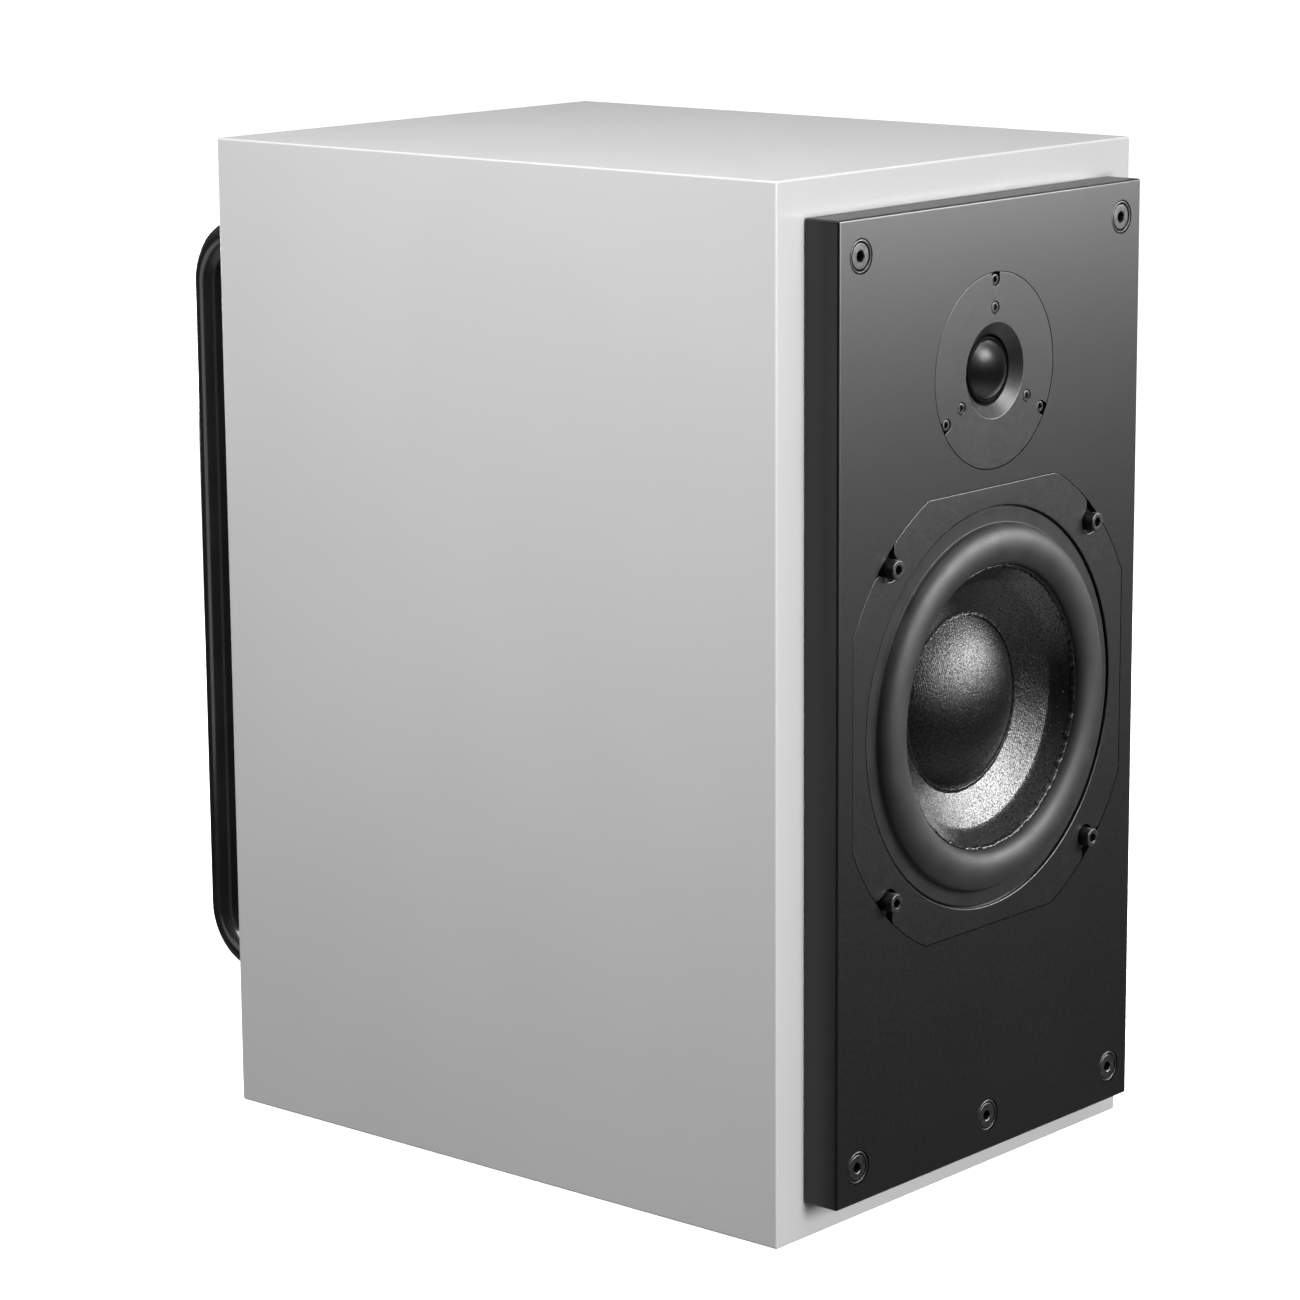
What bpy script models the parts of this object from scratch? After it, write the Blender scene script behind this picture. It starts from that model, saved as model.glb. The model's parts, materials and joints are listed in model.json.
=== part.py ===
"""An active two-way bookshelf speaker, as an assembly.

Frame: metres, +Z up. The origin is the centre of the cabinet's underside, the drivers look
along -Y, and +X is to the right as seen from the front. A driver's own profile is written in
millimetres as (radius, height), where height 0 is the front of the baffle or of the panel that
the piece sits on, and heights grow outwards.
"""

import math

import bpy
from mathutils import Euler, Matrix, Vector

MM = 0.001
GAP = 0.0003

# Cabinet
CABINET = Vector((0.246, 0.320, 0.446))
WALL = 0.018
EDGE_ROUNDING = 0.001
FRONT_OPENING = (0.188, 0.354)
REAR_OPENING = (0.160, 0.362)
CABINET_FRONT = -CABINET.y / 2
CABINET_BACK = CABINET.y / 2
MIDDLE = CABINET.z / 2

# Baffle slab, standing proud of the cabinet
BAFFLE = (0.211, 0.414)
BAFFLE_FRONT = CABINET_FRONT - 0.018
BAFFLE_SCREW_REACH = 0.0912
BAFFLE_SCREW_HEIGHTS = (0.0316, 0.4145)

# Woofer
WOOFER_Z = 0.2133
FLANGE_RADIUS = 0.1056
FLANGE_FLAT = 0.0955
FLANGE_THICK = 0.0055
WOOFER_BOLT_CIRCLE = 0.100
NOTCH_RADIUS = 0.0055
NOTCH_CORNER = 0.0045
NOTCH_DEPTH = 0.003

# Tweeter
TWEETER_Z = 0.358
FACEPLATE_RADIUS = 0.0415
FACEPLATE_THICK = 0.005
TWEETER_BOLT_CIRCLE = 0.0383
TWEETER_CLAMP_CIRCLE = 0.0266
TWEETER_BOLT_ANGLES = (90, 210, 330)
PLATE_NOTCH_RADIUS = 0.00275

# Amplifier panel and what stands on it
PANEL = (0.218, 0.400)
PANEL_THICK = 0.003
PANEL_IN = CABINET_BACK + GAP
PANEL_OUT = PANEL_IN + PANEL_THICK
PANEL_SCREW_REACH = (0.100, 0.1925)
SEAT = PANEL_OUT + GAP
HANDLE_X = 0.095
HANDLE_ENDS = (0.060, 0.400)
HANDLE_STANDOFF = 0.036
HANDLE_RADIUS = 0.0075
HANDLE_BEND = 0.0225
SINK_LOW = Vector((-0.070, SEAT, 0.236))
SINK_HIGH = Vector((0.070, SEAT + 0.032, 0.404))
FIN_GAPS = 12
BOARD_Y = 0.150
TOROID = (0.036, 0.176)
INLET = (0.036, 0.080)
SWITCH = (-0.012, 0.080)
SIGNAL = (-0.045, 0.186)
LEVEL = (-0.045, 0.135)
ROCKER_TILT = math.radians(10)

FACING_FRONT = (math.radians(90), 0, 0)
FACING_REAR = (math.radians(-90), 0, 0)
ROUND = 36
PLATE_ROUND = 40
SMALL_ROUND = 24
SCREW_ROUND = 12


def clear_scene():
    for obj in list(bpy.data.objects):
        bpy.data.objects.remove(obj)


def new_collection(name, helper):
    made = bpy.data.collections.new(name)
    bpy.context.scene.collection.children.link(made)
    made.hide_render = helper
    return made


def new_material(name, colour, roughness, metallic=0.0):
    made = bpy.data.materials.new(name)
    made.use_nodes = True
    shader = made.node_tree.nodes["Principled BSDF"]
    shader.inputs["Base Color"].default_value = (*colour, 1)
    shader.inputs["Roughness"].default_value = roughness
    shader.inputs["Metallic"].default_value = metallic
    made.diffuse_color = (*colour, 1)
    return made


clear_scene()
PARTS = new_collection("bookshelf_speaker", helper=False)
CUTTERS = new_collection("cutters", helper=True)

WHITE_PAINT = new_material("white_paint", (0.80, 0.80, 0.79), 0.45)
BLACK_PAINT = new_material("black_paint", (0.045, 0.045, 0.047), 0.38)
CAST_BLACK = new_material("cast_black", (0.040, 0.040, 0.042), 0.42)
BARE_BOARD = new_material("bare_board", (0.42, 0.31, 0.20), 0.85)
FOAM = new_material("foam", (0.10, 0.10, 0.11), 0.95)
RUBBER = new_material("rubber", (0.050, 0.050, 0.052), 0.50)
DOPED_CLOTH = new_material("doped_cloth", (0.025, 0.025, 0.027), 0.30)
SPIDER_CLOTH = new_material("spider_cloth", (0.45, 0.30, 0.12), 0.85)
BLACK_STEEL = new_material("black_steel", (0.055, 0.055, 0.057), 0.35, 0.9)
BARE_STEEL = new_material("bare_steel", (0.55, 0.55, 0.56), 0.35, 1.0)
FERRITE = new_material("ferrite", (0.09, 0.09, 0.10), 0.70)
COPPER = new_material("copper", (0.75, 0.36, 0.20), 0.35, 1.0)
PANEL_BLACK = new_material("panel_black", (0.050, 0.050, 0.052), 0.50)
ANODISED = new_material("black_anodised", (0.030, 0.030, 0.032), 0.45, 0.8)
TUBE_BLACK = new_material("handle_black", (0.030, 0.030, 0.032), 0.28)
PLASTIC = new_material("black_plastic", (0.035, 0.035, 0.037), 0.45)
BOARD_GREEN = new_material("circuit_green", (0.03, 0.16, 0.07), 0.50)
CAN_SLEEVE = new_material("capacitor_sleeve", (0.05, 0.06, 0.10), 0.40)


def adopt(obj, name, finish):
    """Names an object and puts it with the parts or, without a finish, with the cutters."""
    obj.name = name
    for owner in list(obj.users_collection):
        owner.objects.unlink(obj)
    if finish is None:
        CUTTERS.objects.link(obj)
        obj.display_type = "WIRE"
    else:
        PARTS.objects.link(obj)
        obj.data.materials.append(finish)
    return obj


def round_edges(obj, width, segments=1):
    step = obj.modifiers.new("rounded edges", "BEVEL")
    step.width = width
    step.segments = segments
    step.limit_method = "ANGLE"


def box(name, low, high, finish=None):
    """A block from one corner to the opposite one, in world coordinates."""
    low = Vector(low)
    high = Vector(high)
    bpy.ops.mesh.primitive_cube_add(size=1, location=(low + high) / 2)
    obj = bpy.context.object
    obj.data.transform(Matrix.Diagonal((*(high - low), 1)))
    return adopt(obj, name, finish)


def bar(name, radius, x, z, ends, finish=None, sides=SCREW_ROUND):
    """A straight round bar along Y between two values of y."""
    bpy.ops.mesh.primitive_cylinder_add(
        vertices=sides,
        radius=radius,
        depth=abs(ends[1] - ends[0]),
        location=(x, (ends[0] + ends[1]) / 2, z),
        rotation=FACING_FRONT,
    )
    obj = adopt(bpy.context.object, name, finish)
    for face in obj.data.polygons:
        face.use_smooth = len(face.vertices) == 4
    return obj


def prism(name, outline, ends, place, degrees):
    """A cutter along Y between two values of y, about place, turned by degrees from +X.

    The outline's points are (outward, across) from place, anticlockwise, and y increases.
    """
    angle = math.radians(degrees)
    count = len(outline)
    points = []
    for y in ends:
        for out, across in outline:
            x = place[0] + out * math.cos(angle) - across * math.sin(angle)
            z = place[1] + out * math.sin(angle) + across * math.cos(angle)
            points.append((x, y, z))
    sides = [(i, count + i, count + (i + 1) % count, (i + 1) % count) for i in range(count)]
    caps = [tuple(range(count)), tuple(range(2 * count - 1, count - 1, -1))]
    mesh = bpy.data.meshes.new(name)
    mesh.from_pydata(points, [], sides + caps)
    obj = bpy.data.objects.new(name, mesh)
    bpy.context.scene.collection.objects.link(obj)
    return adopt(obj, name, None)


def turned(name, profile, place, finish=None, facing=FACING_FRONT, sides=ROUND):
    """A profile of (radius, height) in millimetres, turned about the axis through place.

    Listed down the outer side. A profile that keeps off the axis is closed into a ring.
    """
    ring = min(radius for radius, _ in profile) > 0
    points = [(radius * MM, 0, height * MM) for radius, height in profile]
    edges = [(i, i + 1) for i in range(len(points) - 1)]
    if ring:
        edges.append((len(points) - 1, 0))
    mesh = bpy.data.meshes.new(name)
    mesh.from_pydata(points, edges, [])
    obj = bpy.data.objects.new(name, mesh)
    bpy.context.scene.collection.objects.link(obj)
    obj.location = place
    obj.rotation_euler = facing
    turn = obj.modifiers.new("turn", "SCREW")
    turn.steps = sides
    turn.render_steps = sides
    turn.use_merge_vertices = True
    turn.merge_threshold = 0.00001
    turn.use_smooth_shade = True
    return adopt(obj, name, finish)


def change(obj, helper, operation="DIFFERENCE"):
    step = obj.modifiers.new(helper.name, "BOOLEAN")
    step.operation = operation
    step.solver = "EXACT"
    step.object = helper


def arc(centre, radius, start, end, steps):
    """Points on an arc, angles in degrees."""
    angles = [math.radians(start + (end - start) * i / steps) for i in range(steps + 1)]
    return [(centre[0] + radius * math.cos(a), centre[1] + radius * math.sin(a)) for a in angles]


def around(centre_z, radius, degrees):
    """x and z of a point on a circle about a driver's axis."""
    angle = math.radians(degrees)
    return radius * math.cos(angle), centre_z + radius * math.sin(angle)


def socket_screw(name, x, z, seat, head, shank, flats, facing=FACING_FRONT):
    """A cap screw whose head stands on seat. head and shank are (radius, length) in mm."""
    head_radius, head_length = head
    shank_radius, shank_length = shank
    lip = 0.4
    screw = turned(
        name,
        [
            (0, head_length),
            (head_radius - lip, head_length),
            (head_radius, head_length - lip),
            (head_radius, 0),
            (shank_radius, 0),
            (shank_radius, -shank_length),
            (0, -shank_length),
        ],
        (x, seat, z),
        BLACK_STEEL,
        facing,
        SCREW_ROUND,
    )
    outward = -1 if facing == FACING_FRONT else 1
    depth = 0.55 * head_length * MM
    mouth = seat + outward * head_length * MM
    hexagon = bar(
        f"{name} socket",
        flats * MM / math.sqrt(3),
        x,
        z,
        (mouth + outward * 0.001, mouth - outward * depth),
        sides=6,
    )
    change(screw, hexagon)
    return screw


def make_cabinet():
    half = CABINET / 2
    shell = box("cabinet_shell", (-half.x, -half.y, 0), (half.x, half.y, CABINET.z), WHITE_PAINT)
    round_edges(shell, EDGE_ROUNDING)
    inner = half - Vector((WALL, WALL, 0))
    change(
        shell,
        box("cavity", (-inner.x, -inner.y, WALL), (inner.x, inner.y, CABINET.z - WALL)),
    )
    for name, (width, height), y in (
        ("front opening", FRONT_OPENING, CABINET_FRONT),
        ("rear opening", REAR_OPENING, CABINET_BACK),
    ):
        low = (-width / 2, y - WALL - 0.002, MIDDLE - height / 2)
        high = (width / 2, y + WALL + 0.002, MIDDLE + height / 2)
        change(shell, box(name, low, high))
    for index, (x, z) in enumerate(baffle_screw_places()):
        pilot = (CABINET_FRONT - 0.002, CABINET_FRONT + 0.015)
        change(shell, bar(f"baffle pilot {index}", 0.0028, x, z, pilot, sides=10))
    for index, (x, z) in enumerate(panel_screw_places()):
        pilot = (CABINET_BACK + 0.002, CABINET_BACK - 0.013)
        change(shell, bar(f"panel pilot {index}", 0.0024, x, z, pilot, sides=10))
    for index, (x, z) in enumerate(handle_places()):
        through = (CABINET_BACK + 0.002, CABINET_BACK - WALL - 0.002)
        change(shell, bar(f"handle bolt way {index}", 0.0034, x, z, through, sides=10))


def make_inside():
    """The window brace across the middle and the foam behind the drivers."""
    x = CABINET.x / 2 - WALL - GAP
    low_z = WALL + GAP
    high_z = CABINET.z - WALL - GAP
    brace = box("cabinet_brace", (-x, 0.010, low_z), (x, 0.028, high_z), BARE_BOARD)
    for name, low, high in (("lower window", 0.050, 0.200), ("upper window", 0.245, 0.395)):
        change(brace, box(name, (-0.075, 0, low), (0.075, 0.040, high)))
    foam = box("damping_lining", (-x, -0.135, 0.060), (x, 0.0095, high_z), FOAM)
    change(foam, box("inside of lining", (-x + 0.010, -0.15, 0.05), (x - 0.010, 0.02, 0.417)))


def baffle_screw_places():
    low, high = BAFFLE_SCREW_HEIGHTS
    reach = BAFFLE_SCREW_REACH
    return [(-reach, high), (reach, high), (-reach, low), (0, low), (reach, low)]


def make_baffle():
    width, height = BAFFLE
    low = (-width / 2, BAFFLE_FRONT, MIDDLE - height / 2)
    high = (width / 2, CABINET_FRONT - GAP, MIDDLE + height / 2)
    baffle = box("front_baffle", low, high, BLACK_PAINT)
    round_edges(baffle, EDGE_ROUNDING)

    floor = BAFFLE_FRONT + FLANGE_THICK + 0.0016
    front = BAFFLE_FRONT - 0.002
    seat = bar("woofer seat", FLANGE_RADIUS + GAP, 0, WOOFER_Z, (front, floor), sides=ROUND)
    flat = FLANGE_FLAT + GAP
    square = box("seat flats", (-flat, -0.3, WOOFER_Z - flat), (flat, 0, WOOFER_Z + flat))
    change(seat, square, "INTERSECT")
    change(baffle, seat)
    change(baffle, bar("woofer way", 0.0905, 0, WOOFER_Z, (-0.19, -0.15), sides=ROUND))

    floor = BAFFLE_FRONT + FACEPLATE_THICK + GAP
    radius = FACEPLATE_RADIUS + GAP
    change(baffle, bar("tweeter seat", radius, 0, TWEETER_Z, (front, floor), sides=ROUND))
    change(baffle, bar("tweeter way", 0.0330, 0, TWEETER_Z, (-0.19, -0.15), sides=SMALL_ROUND))

    for index, (x, z) in enumerate(baffle_screw_places()):
        sink = [(0, 1), (7.9, 1), (7.4, 0), (6.2, -1.2), (6.2, -6.5), (3.2, -6.5), (3.2, -20), (0, -20)]
        way = turned(f"screw way {index}", sink, (x, BAFFLE_FRONT, z), sides=SCREW_ROUND)
        change(baffle, way)
        socket_screw(
            f"baffle_screw_{index + 1}",
            x,
            z,
            BAFFLE_FRONT + 0.0062,
            head=(5.9, 5.6),
            shank=(2.5, 24.0),
            flats=4.2,
        )
    for index, (x, z) in enumerate(woofer_screw_places()):
        pilot = (BAFFLE_FRONT + 0.006, BAFFLE_FRONT + 0.0155)
        change(baffle, bar(f"woofer pilot {index}", 0.0025, x, z, pilot, sides=10))
    for index, (x, z) in enumerate(tweeter_screw_places()):
        pilot = (BAFFLE_FRONT + 0.004, BAFFLE_FRONT + 0.0155)
        change(baffle, bar(f"tweeter pilot {index}", 0.0016, x, z, pilot, sides=10))


def woofer_screw_places():
    return [around(WOOFER_Z, WOOFER_BOLT_CIRCLE, angle) for angle in (45, 135, 225, 315)]


def woofer_notch_outline():
    """Half a circle round the bolt, whose ends turn outwards into the flange's edge."""
    reach = WOOFER_BOLT_CIRCLE
    edge = FLANGE_RADIUS - NOTCH_CORNER
    apart = NOTCH_RADIUS + NOTCH_CORNER
    out = (edge * edge - apart * apart - reach * reach) / (2 * reach)
    across = math.sqrt(apart * apart - out * out)
    lean = math.degrees(math.atan2(out, across))
    bend = math.degrees(math.atan2(reach + out, across))
    corner = arc((across, out), NOTCH_CORNER, bend, 180 + lean, 4)
    hollow = arc((0, 0), NOTCH_RADIUS, lean, -90, 5)
    half = [(0.012, 0.013), (corner[0][1], 0.013)]
    half += [(y, x) for x, y in corner] + [(y, x) for x, y in hollow[1:]]
    return half + [(out_at, -at) for out_at, at in half[-2::-1]]


def make_woofer_basket(place):
    outer = [(86.9, -0.3), (87.2, 0), (105.6, 0), (105.6, -5.5), (90.0, -5.5), (86.5, -9)]
    back = [(67.0, -31), (64.0, -38.7), (45.0, -38.7), (45.0, -35.5), (57.5, -35.5)]
    inner = [(57.5, -29), (62.0, -29), (80.0, -8), (80.0, -1.8), (86.9, -1.8)]
    basket = turned("woofer_basket", outer + back + inner, place, CAST_BLACK)
    flat = FLANGE_FLAT
    square = box("flange flats", (-flat, -0.3, WOOFER_Z - flat), (flat, 0, WOOFER_Z + flat))
    change(basket, square, "INTERSECT")
    for index in range(6):
        angle = math.radians(60 * index + 30)
        window = box(f"basket window {index}", (-0.019, -0.007, -0.016), (0.019, 0.007, 0.016))
        window.location = (
            0.074 * math.cos(angle),
            BAFFLE_FRONT + 0.0195,
            WOOFER_Z + 0.074 * math.sin(angle),
        )
        window.rotation_euler = (0, math.radians(90) - angle, 0)
        change(basket, window)

    front = BAFFLE_FRONT - 0.002
    floor = BAFFLE_FRONT + NOTCH_DEPTH
    outline = woofer_notch_outline()
    for index, (x, z) in enumerate(woofer_screw_places()):
        degrees = 45 + 90 * index
        notch = prism(f"bolt notch {index}", outline, (front, floor), (x, z), degrees)
        change(basket, notch)
        through = (front, BAFFLE_FRONT + 0.010)
        change(basket, bar(f"bolt hole {index}", 0.0026, x, z, through, sides=10))
        socket_screw(
            f"woofer_screw_{index + 1}",
            x,
            z,
            floor - GAP,
            head=(4.1, 7.0),
            shank=(2.2, 12.0),
            flats=3.6,
        )
    turned("woofer_gasket", [(91, -5.8), (95.2, -5.8), (95.2, -6.8), (91, -6.8)], place, RUBBER)


def make_woofer_motor(place):
    """A pot with the magnet inside the coil, under a pole plate."""
    inside = [(0, -62), (46, -62), (46, -46), (39.2, -46)]
    outside = [(39.2, -39), (52, -39), (52, -68), (51, -69), (0, -69)]
    turned("woofer_pot", inside + outside, place, BARE_STEEL)
    turned(
        "woofer_magnet",
        [(0, -46.3), (35, -46.3), (35, -61.7), (0, -61.7)],
        place,
        FERRITE,
        sides=SMALL_ROUND,
    )
    plate = [(0, -39), (35.6, -39), (36.3, -39.7), (36.3, -46), (0, -46)]
    turned("woofer_pole_plate", plate, place, BARE_STEEL)


def roll(centre, half_width, height, thick, steps):
    """The two faces of a half roll: over the crest outwards, and back underneath."""
    angles = [math.pi * i / steps for i in range(steps + 1)]

    def face(width, rise):
        return [(centre[0] - width * math.cos(a), centre[1] + rise * math.sin(a)) for a in angles]

    return face(half_width, height), face(half_width - thick, height - thick)[::-1]


def make_woofer_cone(place):
    """The moving assembly and the two rings that carry it."""
    over, under = roll((70.4, -0.4), 8.8, 5.6, 0.9, 7)
    lip = [(86.4, -0.4), (86.4, -1.5)]
    surround = over + lip + [(79.2, -1.5)] + under[1:]
    turned("woofer_surround", surround, place, RUBBER)

    face = [(61.2, -0.2), (61.2, -1.4)]
    below = [(50.0, -11.0), (38.3, -17.8)]
    above = [(38.3, -16.8), (50.0, -9.9)]
    turned("woofer_cone", face + below + above, place, DOPED_CLOTH)

    half = 37.6
    rise = 14.0
    sphere = (half * half + rise * rise) / (2 * rise)
    sweep = math.degrees(math.asin(half / sphere))
    base = -16.8
    centre = (0, base + rise - sphere)
    outer = arc(centre, sphere, 90, 90 - sweep, 6)
    inner = arc(centre, sphere - 0.8, 90 - sweep, 90, 6)
    outer[0] = (0, outer[0][1])
    inner[-1] = (0, inner[-1][1])
    turned("woofer_dome", outer + inner, place, DOPED_CLOTH)

    former = [(37.5, -18.1), (37.5, -36), (38.4, -36), (38.4, -47), (37.5, -47), (37.5, -50)]
    turned("woofer_voice_coil", [*former, (37.0, -50), (37.0, -18.1)], place, COPPER)

    waves = []
    for i in range(11):
        radius = 38.2 + 18.9 * i / 10
        waves.append((radius, -26.4 + 1.1 * math.sin(math.pi * i / 2)))
    lower = [(radius, height - 0.7) for radius, height in waves[::-1]]
    foot = [(61.6, -26.4), (61.6, -28.7), (57.8, -28.7), (57.8, -27.1)]
    turned("woofer_spider", waves + foot + lower, place, SPIDER_CLOTH, sides=SMALL_ROUND)


def tweeter_screw_places():
    return [around(TWEETER_Z, TWEETER_BOLT_CIRCLE, angle) for angle in TWEETER_BOLT_ANGLES]


def make_tweeter_faceplate(place):
    outer = [(20.3, 0), (41.2, 0), (41.5, -0.3), (41.5, -5), (32.4, -5), (32.4, -8)]
    throat = [(17.2, -8), (17.2, -4.7), (14.9, -4.7), (15.2, -3.9)]
    plate = turned("tweeter_faceplate", outer + throat, place, CAST_BLACK, sides=PLATE_ROUND)
    front = BAFFLE_FRONT - 0.002
    bend = arc((0, 0), PLATE_NOTCH_RADIUS, 90, 270, 6)
    outline = [*bend, (0.005, -PLATE_NOTCH_RADIUS), (0.005, PLATE_NOTCH_RADIUS)]
    for index, (x, z) in enumerate(tweeter_screw_places()):
        floor = BAFFLE_FRONT + 0.0032
        degrees = TWEETER_BOLT_ANGLES[index]
        change(plate, prism(f"plate notch {index}", outline, (front, floor), (x, z), degrees))
        through = (front, BAFFLE_FRONT + 0.007)
        change(plate, bar(f"plate hole {index}", 0.0016, x, z, through, sides=10))
        socket_screw(
            f"tweeter_screw_{index + 1}",
            x,
            z,
            floor - GAP,
            head=(2.4, 2.5),
            shank=(1.3, 12.0),
            flats=2.2,
        )
    for index, angle in enumerate(TWEETER_BOLT_ANGLES):
        x, z = around(TWEETER_Z, TWEETER_CLAMP_CIRCLE, angle)
        floor = BAFFLE_FRONT + 0.0022
        change(plate, bar(f"clamp seat {index}", 0.0031, x, z, (front, floor)))
        through = (front, BAFFLE_FRONT + 0.012)
        change(plate, bar(f"clamp hole {index}", 0.0017, x, z, through, sides=10))
        socket_screw(
            f"tweeter_clamp_screw_{index + 1}",
            x,
            z,
            floor - GAP,
            head=(2.4, 1.7),
            shank=(1.4, 7.0),
            flats=2.1,
        )


def make_tweeter_motor(place):
    washer = [(13.6, -8.3), (31, -8.3), (31, -12.3), (13.6, -12.3)]
    plate = turned("tweeter_front_plate", washer, place, BARE_STEEL, sides=SMALL_ROUND)
    for index, angle in enumerate(TWEETER_BOLT_ANGLES):
        x, z = around(TWEETER_Z, TWEETER_CLAMP_CIRCLE, angle)
        ends = (BAFFLE_FRONT + 0.007, BAFFLE_FRONT + 0.0115)
        change(plate, bar(f"clamp thread {index}", 0.0017, x, z, ends, sides=10))
    magnet = [(16.5, -12.6), (31, -12.6), (31, -24), (16.5, -24)]
    turned("tweeter_magnet", magnet, place, FERRITE, sides=SMALL_ROUND)
    pole = [(0, -8.5), (11.6, -8.5), (12.0, -9), (12.0, -24.3), (30, -24.3), (30, -29), (0, -29)]
    turned("tweeter_yoke", pole, place, BARE_STEEL, sides=SMALL_ROUND)


def make_tweeter_dome(place):
    half = 12.5
    rise = 6.0
    sphere = (half * half + rise * rise) / (2 * rise)
    sweep = math.degrees(math.asin(half / sphere))
    base = -3.9
    centre = (0, base + rise - sphere)
    outer = arc(centre, sphere, 90, 90 - sweep, 4)
    inner = arc(centre, sphere - 0.5, 90 - sweep, 90, 4)
    outer[0] = (0, outer[0][1])
    inner[-1] = (0, inner[-1][1])
    turned("tweeter_dome", outer + inner, place, DOPED_CLOTH, sides=SMALL_ROUND)
    coil = [(13.0, -4.9), (13.0, -14), (12.6, -14), (12.6, -4.9)]
    turned("tweeter_voice_coil", coil, place, COPPER, sides=SMALL_ROUND)
    crest = [(12.9, -4.5), (13.2, -3.8), (13.7, -3.5), (14.2, -3.8), (14.5, -4.5), (14.5, -5.0)]
    lip = [(17.0, -5.0), (17.0, -5.6), (13.9, -5.6), (13.7, -4.4), (13.3, -4.6)]
    turned("tweeter_surround", crest + lip, place, DOPED_CLOTH, sides=SMALL_ROUND)


def panel_screw_places():
    x, z = PANEL_SCREW_REACH
    return [(sx * x, MIDDLE + sz * z) for sz in (-1, 1) for sx in (-1, 1)]


def handle_places():
    return [(side * HANDLE_X, z) for side in (-1, 1) for z in HANDLE_ENDS]


def make_panel():
    width, height = PANEL
    low = (-width / 2, PANEL_IN, MIDDLE - height / 2)
    high = (width / 2, PANEL_OUT, MIDDLE + height / 2)
    panel = box("amp_panel", low, high, PANEL_BLACK)
    through = (PANEL_IN - 0.002, PANEL_OUT + 0.002)
    for index, (x, z) in enumerate(panel_screw_places()):
        change(panel, bar(f"panel hole {index}", 0.0024, x, z, through, sides=10))
        socket_screw(
            f"panel_screw_{index + 1}",
            x,
            z,
            SEAT,
            head=(3.6, 2.4),
            shank=(2.0, 15.0),
            flats=2.6,
            facing=FACING_REAR,
        )
    for index, (x, z) in enumerate(handle_places()):
        change(panel, bar(f"handle hole {index}", 0.0034, x, z, through, sides=10))
    for name, (x, z), half_x, half_z in (
        ("inlet cut-out", INLET, 0.0142, 0.0207),
        ("switch cut-out", SWITCH, 0.0068, 0.0099),
    ):
        low = (x - half_x, through[0], z - half_z)
        change(panel, box(name, low, (x + half_x, through[1], z + half_z)))
    change(panel, bar("signal cut-out", 0.0122, *SIGNAL, through, sides=SMALL_ROUND))
    change(panel, bar("level cut-out", 0.0040, *LEVEL, through))


def make_heat_sink():
    sink = box("heat_sink", SINK_LOW, SINK_HIGH, ANODISED)
    base = 0.006
    fin = 0.0026
    pitch = (SINK_HIGH.x - SINK_LOW.x - fin) / FIN_GAPS
    low = (SINK_LOW.x + fin, SINK_LOW.y + base, SINK_LOW.z - 0.01)
    slot = box("fin gap", low, (low[0] + pitch - fin, SINK_HIGH.y + 0.01, SINK_HIGH.z + 0.01))
    row = slot.modifiers.new("row of gaps", "ARRAY")
    row.count = FIN_GAPS
    row.use_relative_offset = False
    row.use_constant_offset = True
    row.constant_offset_displace = (pitch, 0, 0)
    change(sink, slot)


def handle_path(x):
    """Places along the tube, each with its radius: out of one foot, up, and into the other."""
    far = CABINET_BACK + HANDLE_STANDOFF
    low, high = HANDLE_ENDS
    bend = HANDLE_BEND
    foot = [(0, 0.0110), (0.003, 0.0110), (0.004, 0.0088), (0.0075, 0.0088), (0.008, HANDLE_RADIUS)]
    lower = [(SEAT + out, low, radius) for out, radius in foot]
    upper = [(SEAT + out, high, radius) for out, radius in foot[::-1]]
    turns = arc((far - bend, low + bend), bend, -90, 0, 6)
    turns += arc((far - bend, high - bend), bend, 0, 90, 6)
    middle = [(y, z, HANDLE_RADIUS) for y, z in turns]
    return [((x, y, z), radius) for y, z, radius in lower + middle + upper]


def make_handle(name, x):
    """A bent tube that swells into two feet, bolted from inside the cabinet."""
    curve = bpy.data.curves.new(f"{name} path", "CURVE")
    curve.dimensions = "3D"
    curve.bevel_depth = HANDLE_RADIUS
    curve.bevel_resolution = 3
    curve.use_fill_caps = True
    spline = curve.splines.new("POLY")
    stations = handle_path(x)
    spline.points.add(len(stations) - 1)
    for point, (place, radius) in zip(spline.points, stations):
        point.co = (*place, 1)
        point.radius = radius / HANDLE_RADIUS
    path = bpy.data.objects.new(f"{name} path", curve)
    bpy.context.scene.collection.objects.link(path)
    graph = bpy.context.evaluated_depsgraph_get()
    mesh = bpy.data.meshes.new_from_object(path.evaluated_get(graph))
    bpy.data.objects.remove(path)
    handle = bpy.data.objects.new(name, mesh)
    bpy.context.scene.collection.objects.link(handle)
    handle.data.materials.clear()
    adopt(handle, name, TUBE_BLACK)
    weld = handle.modifiers.new("sewn caps", "WELD")
    weld.merge_threshold = 0.00001
    for index, z in enumerate(HANDLE_ENDS):
        ends = (SEAT - 0.002, SEAT + 0.007)
        change(handle, bar(f"{name} thread {index}", 0.0032, x, z, ends, sides=10))
        socket_screw(
            f"{name.replace('handle', 'handle_bolt')}_{index + 1}",
            x,
            z,
            CABINET_BACK - WALL - GAP,
            head=(4.8, 5.0),
            shank=(2.8, 28.0),
            flats=4.0,
        )


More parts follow.
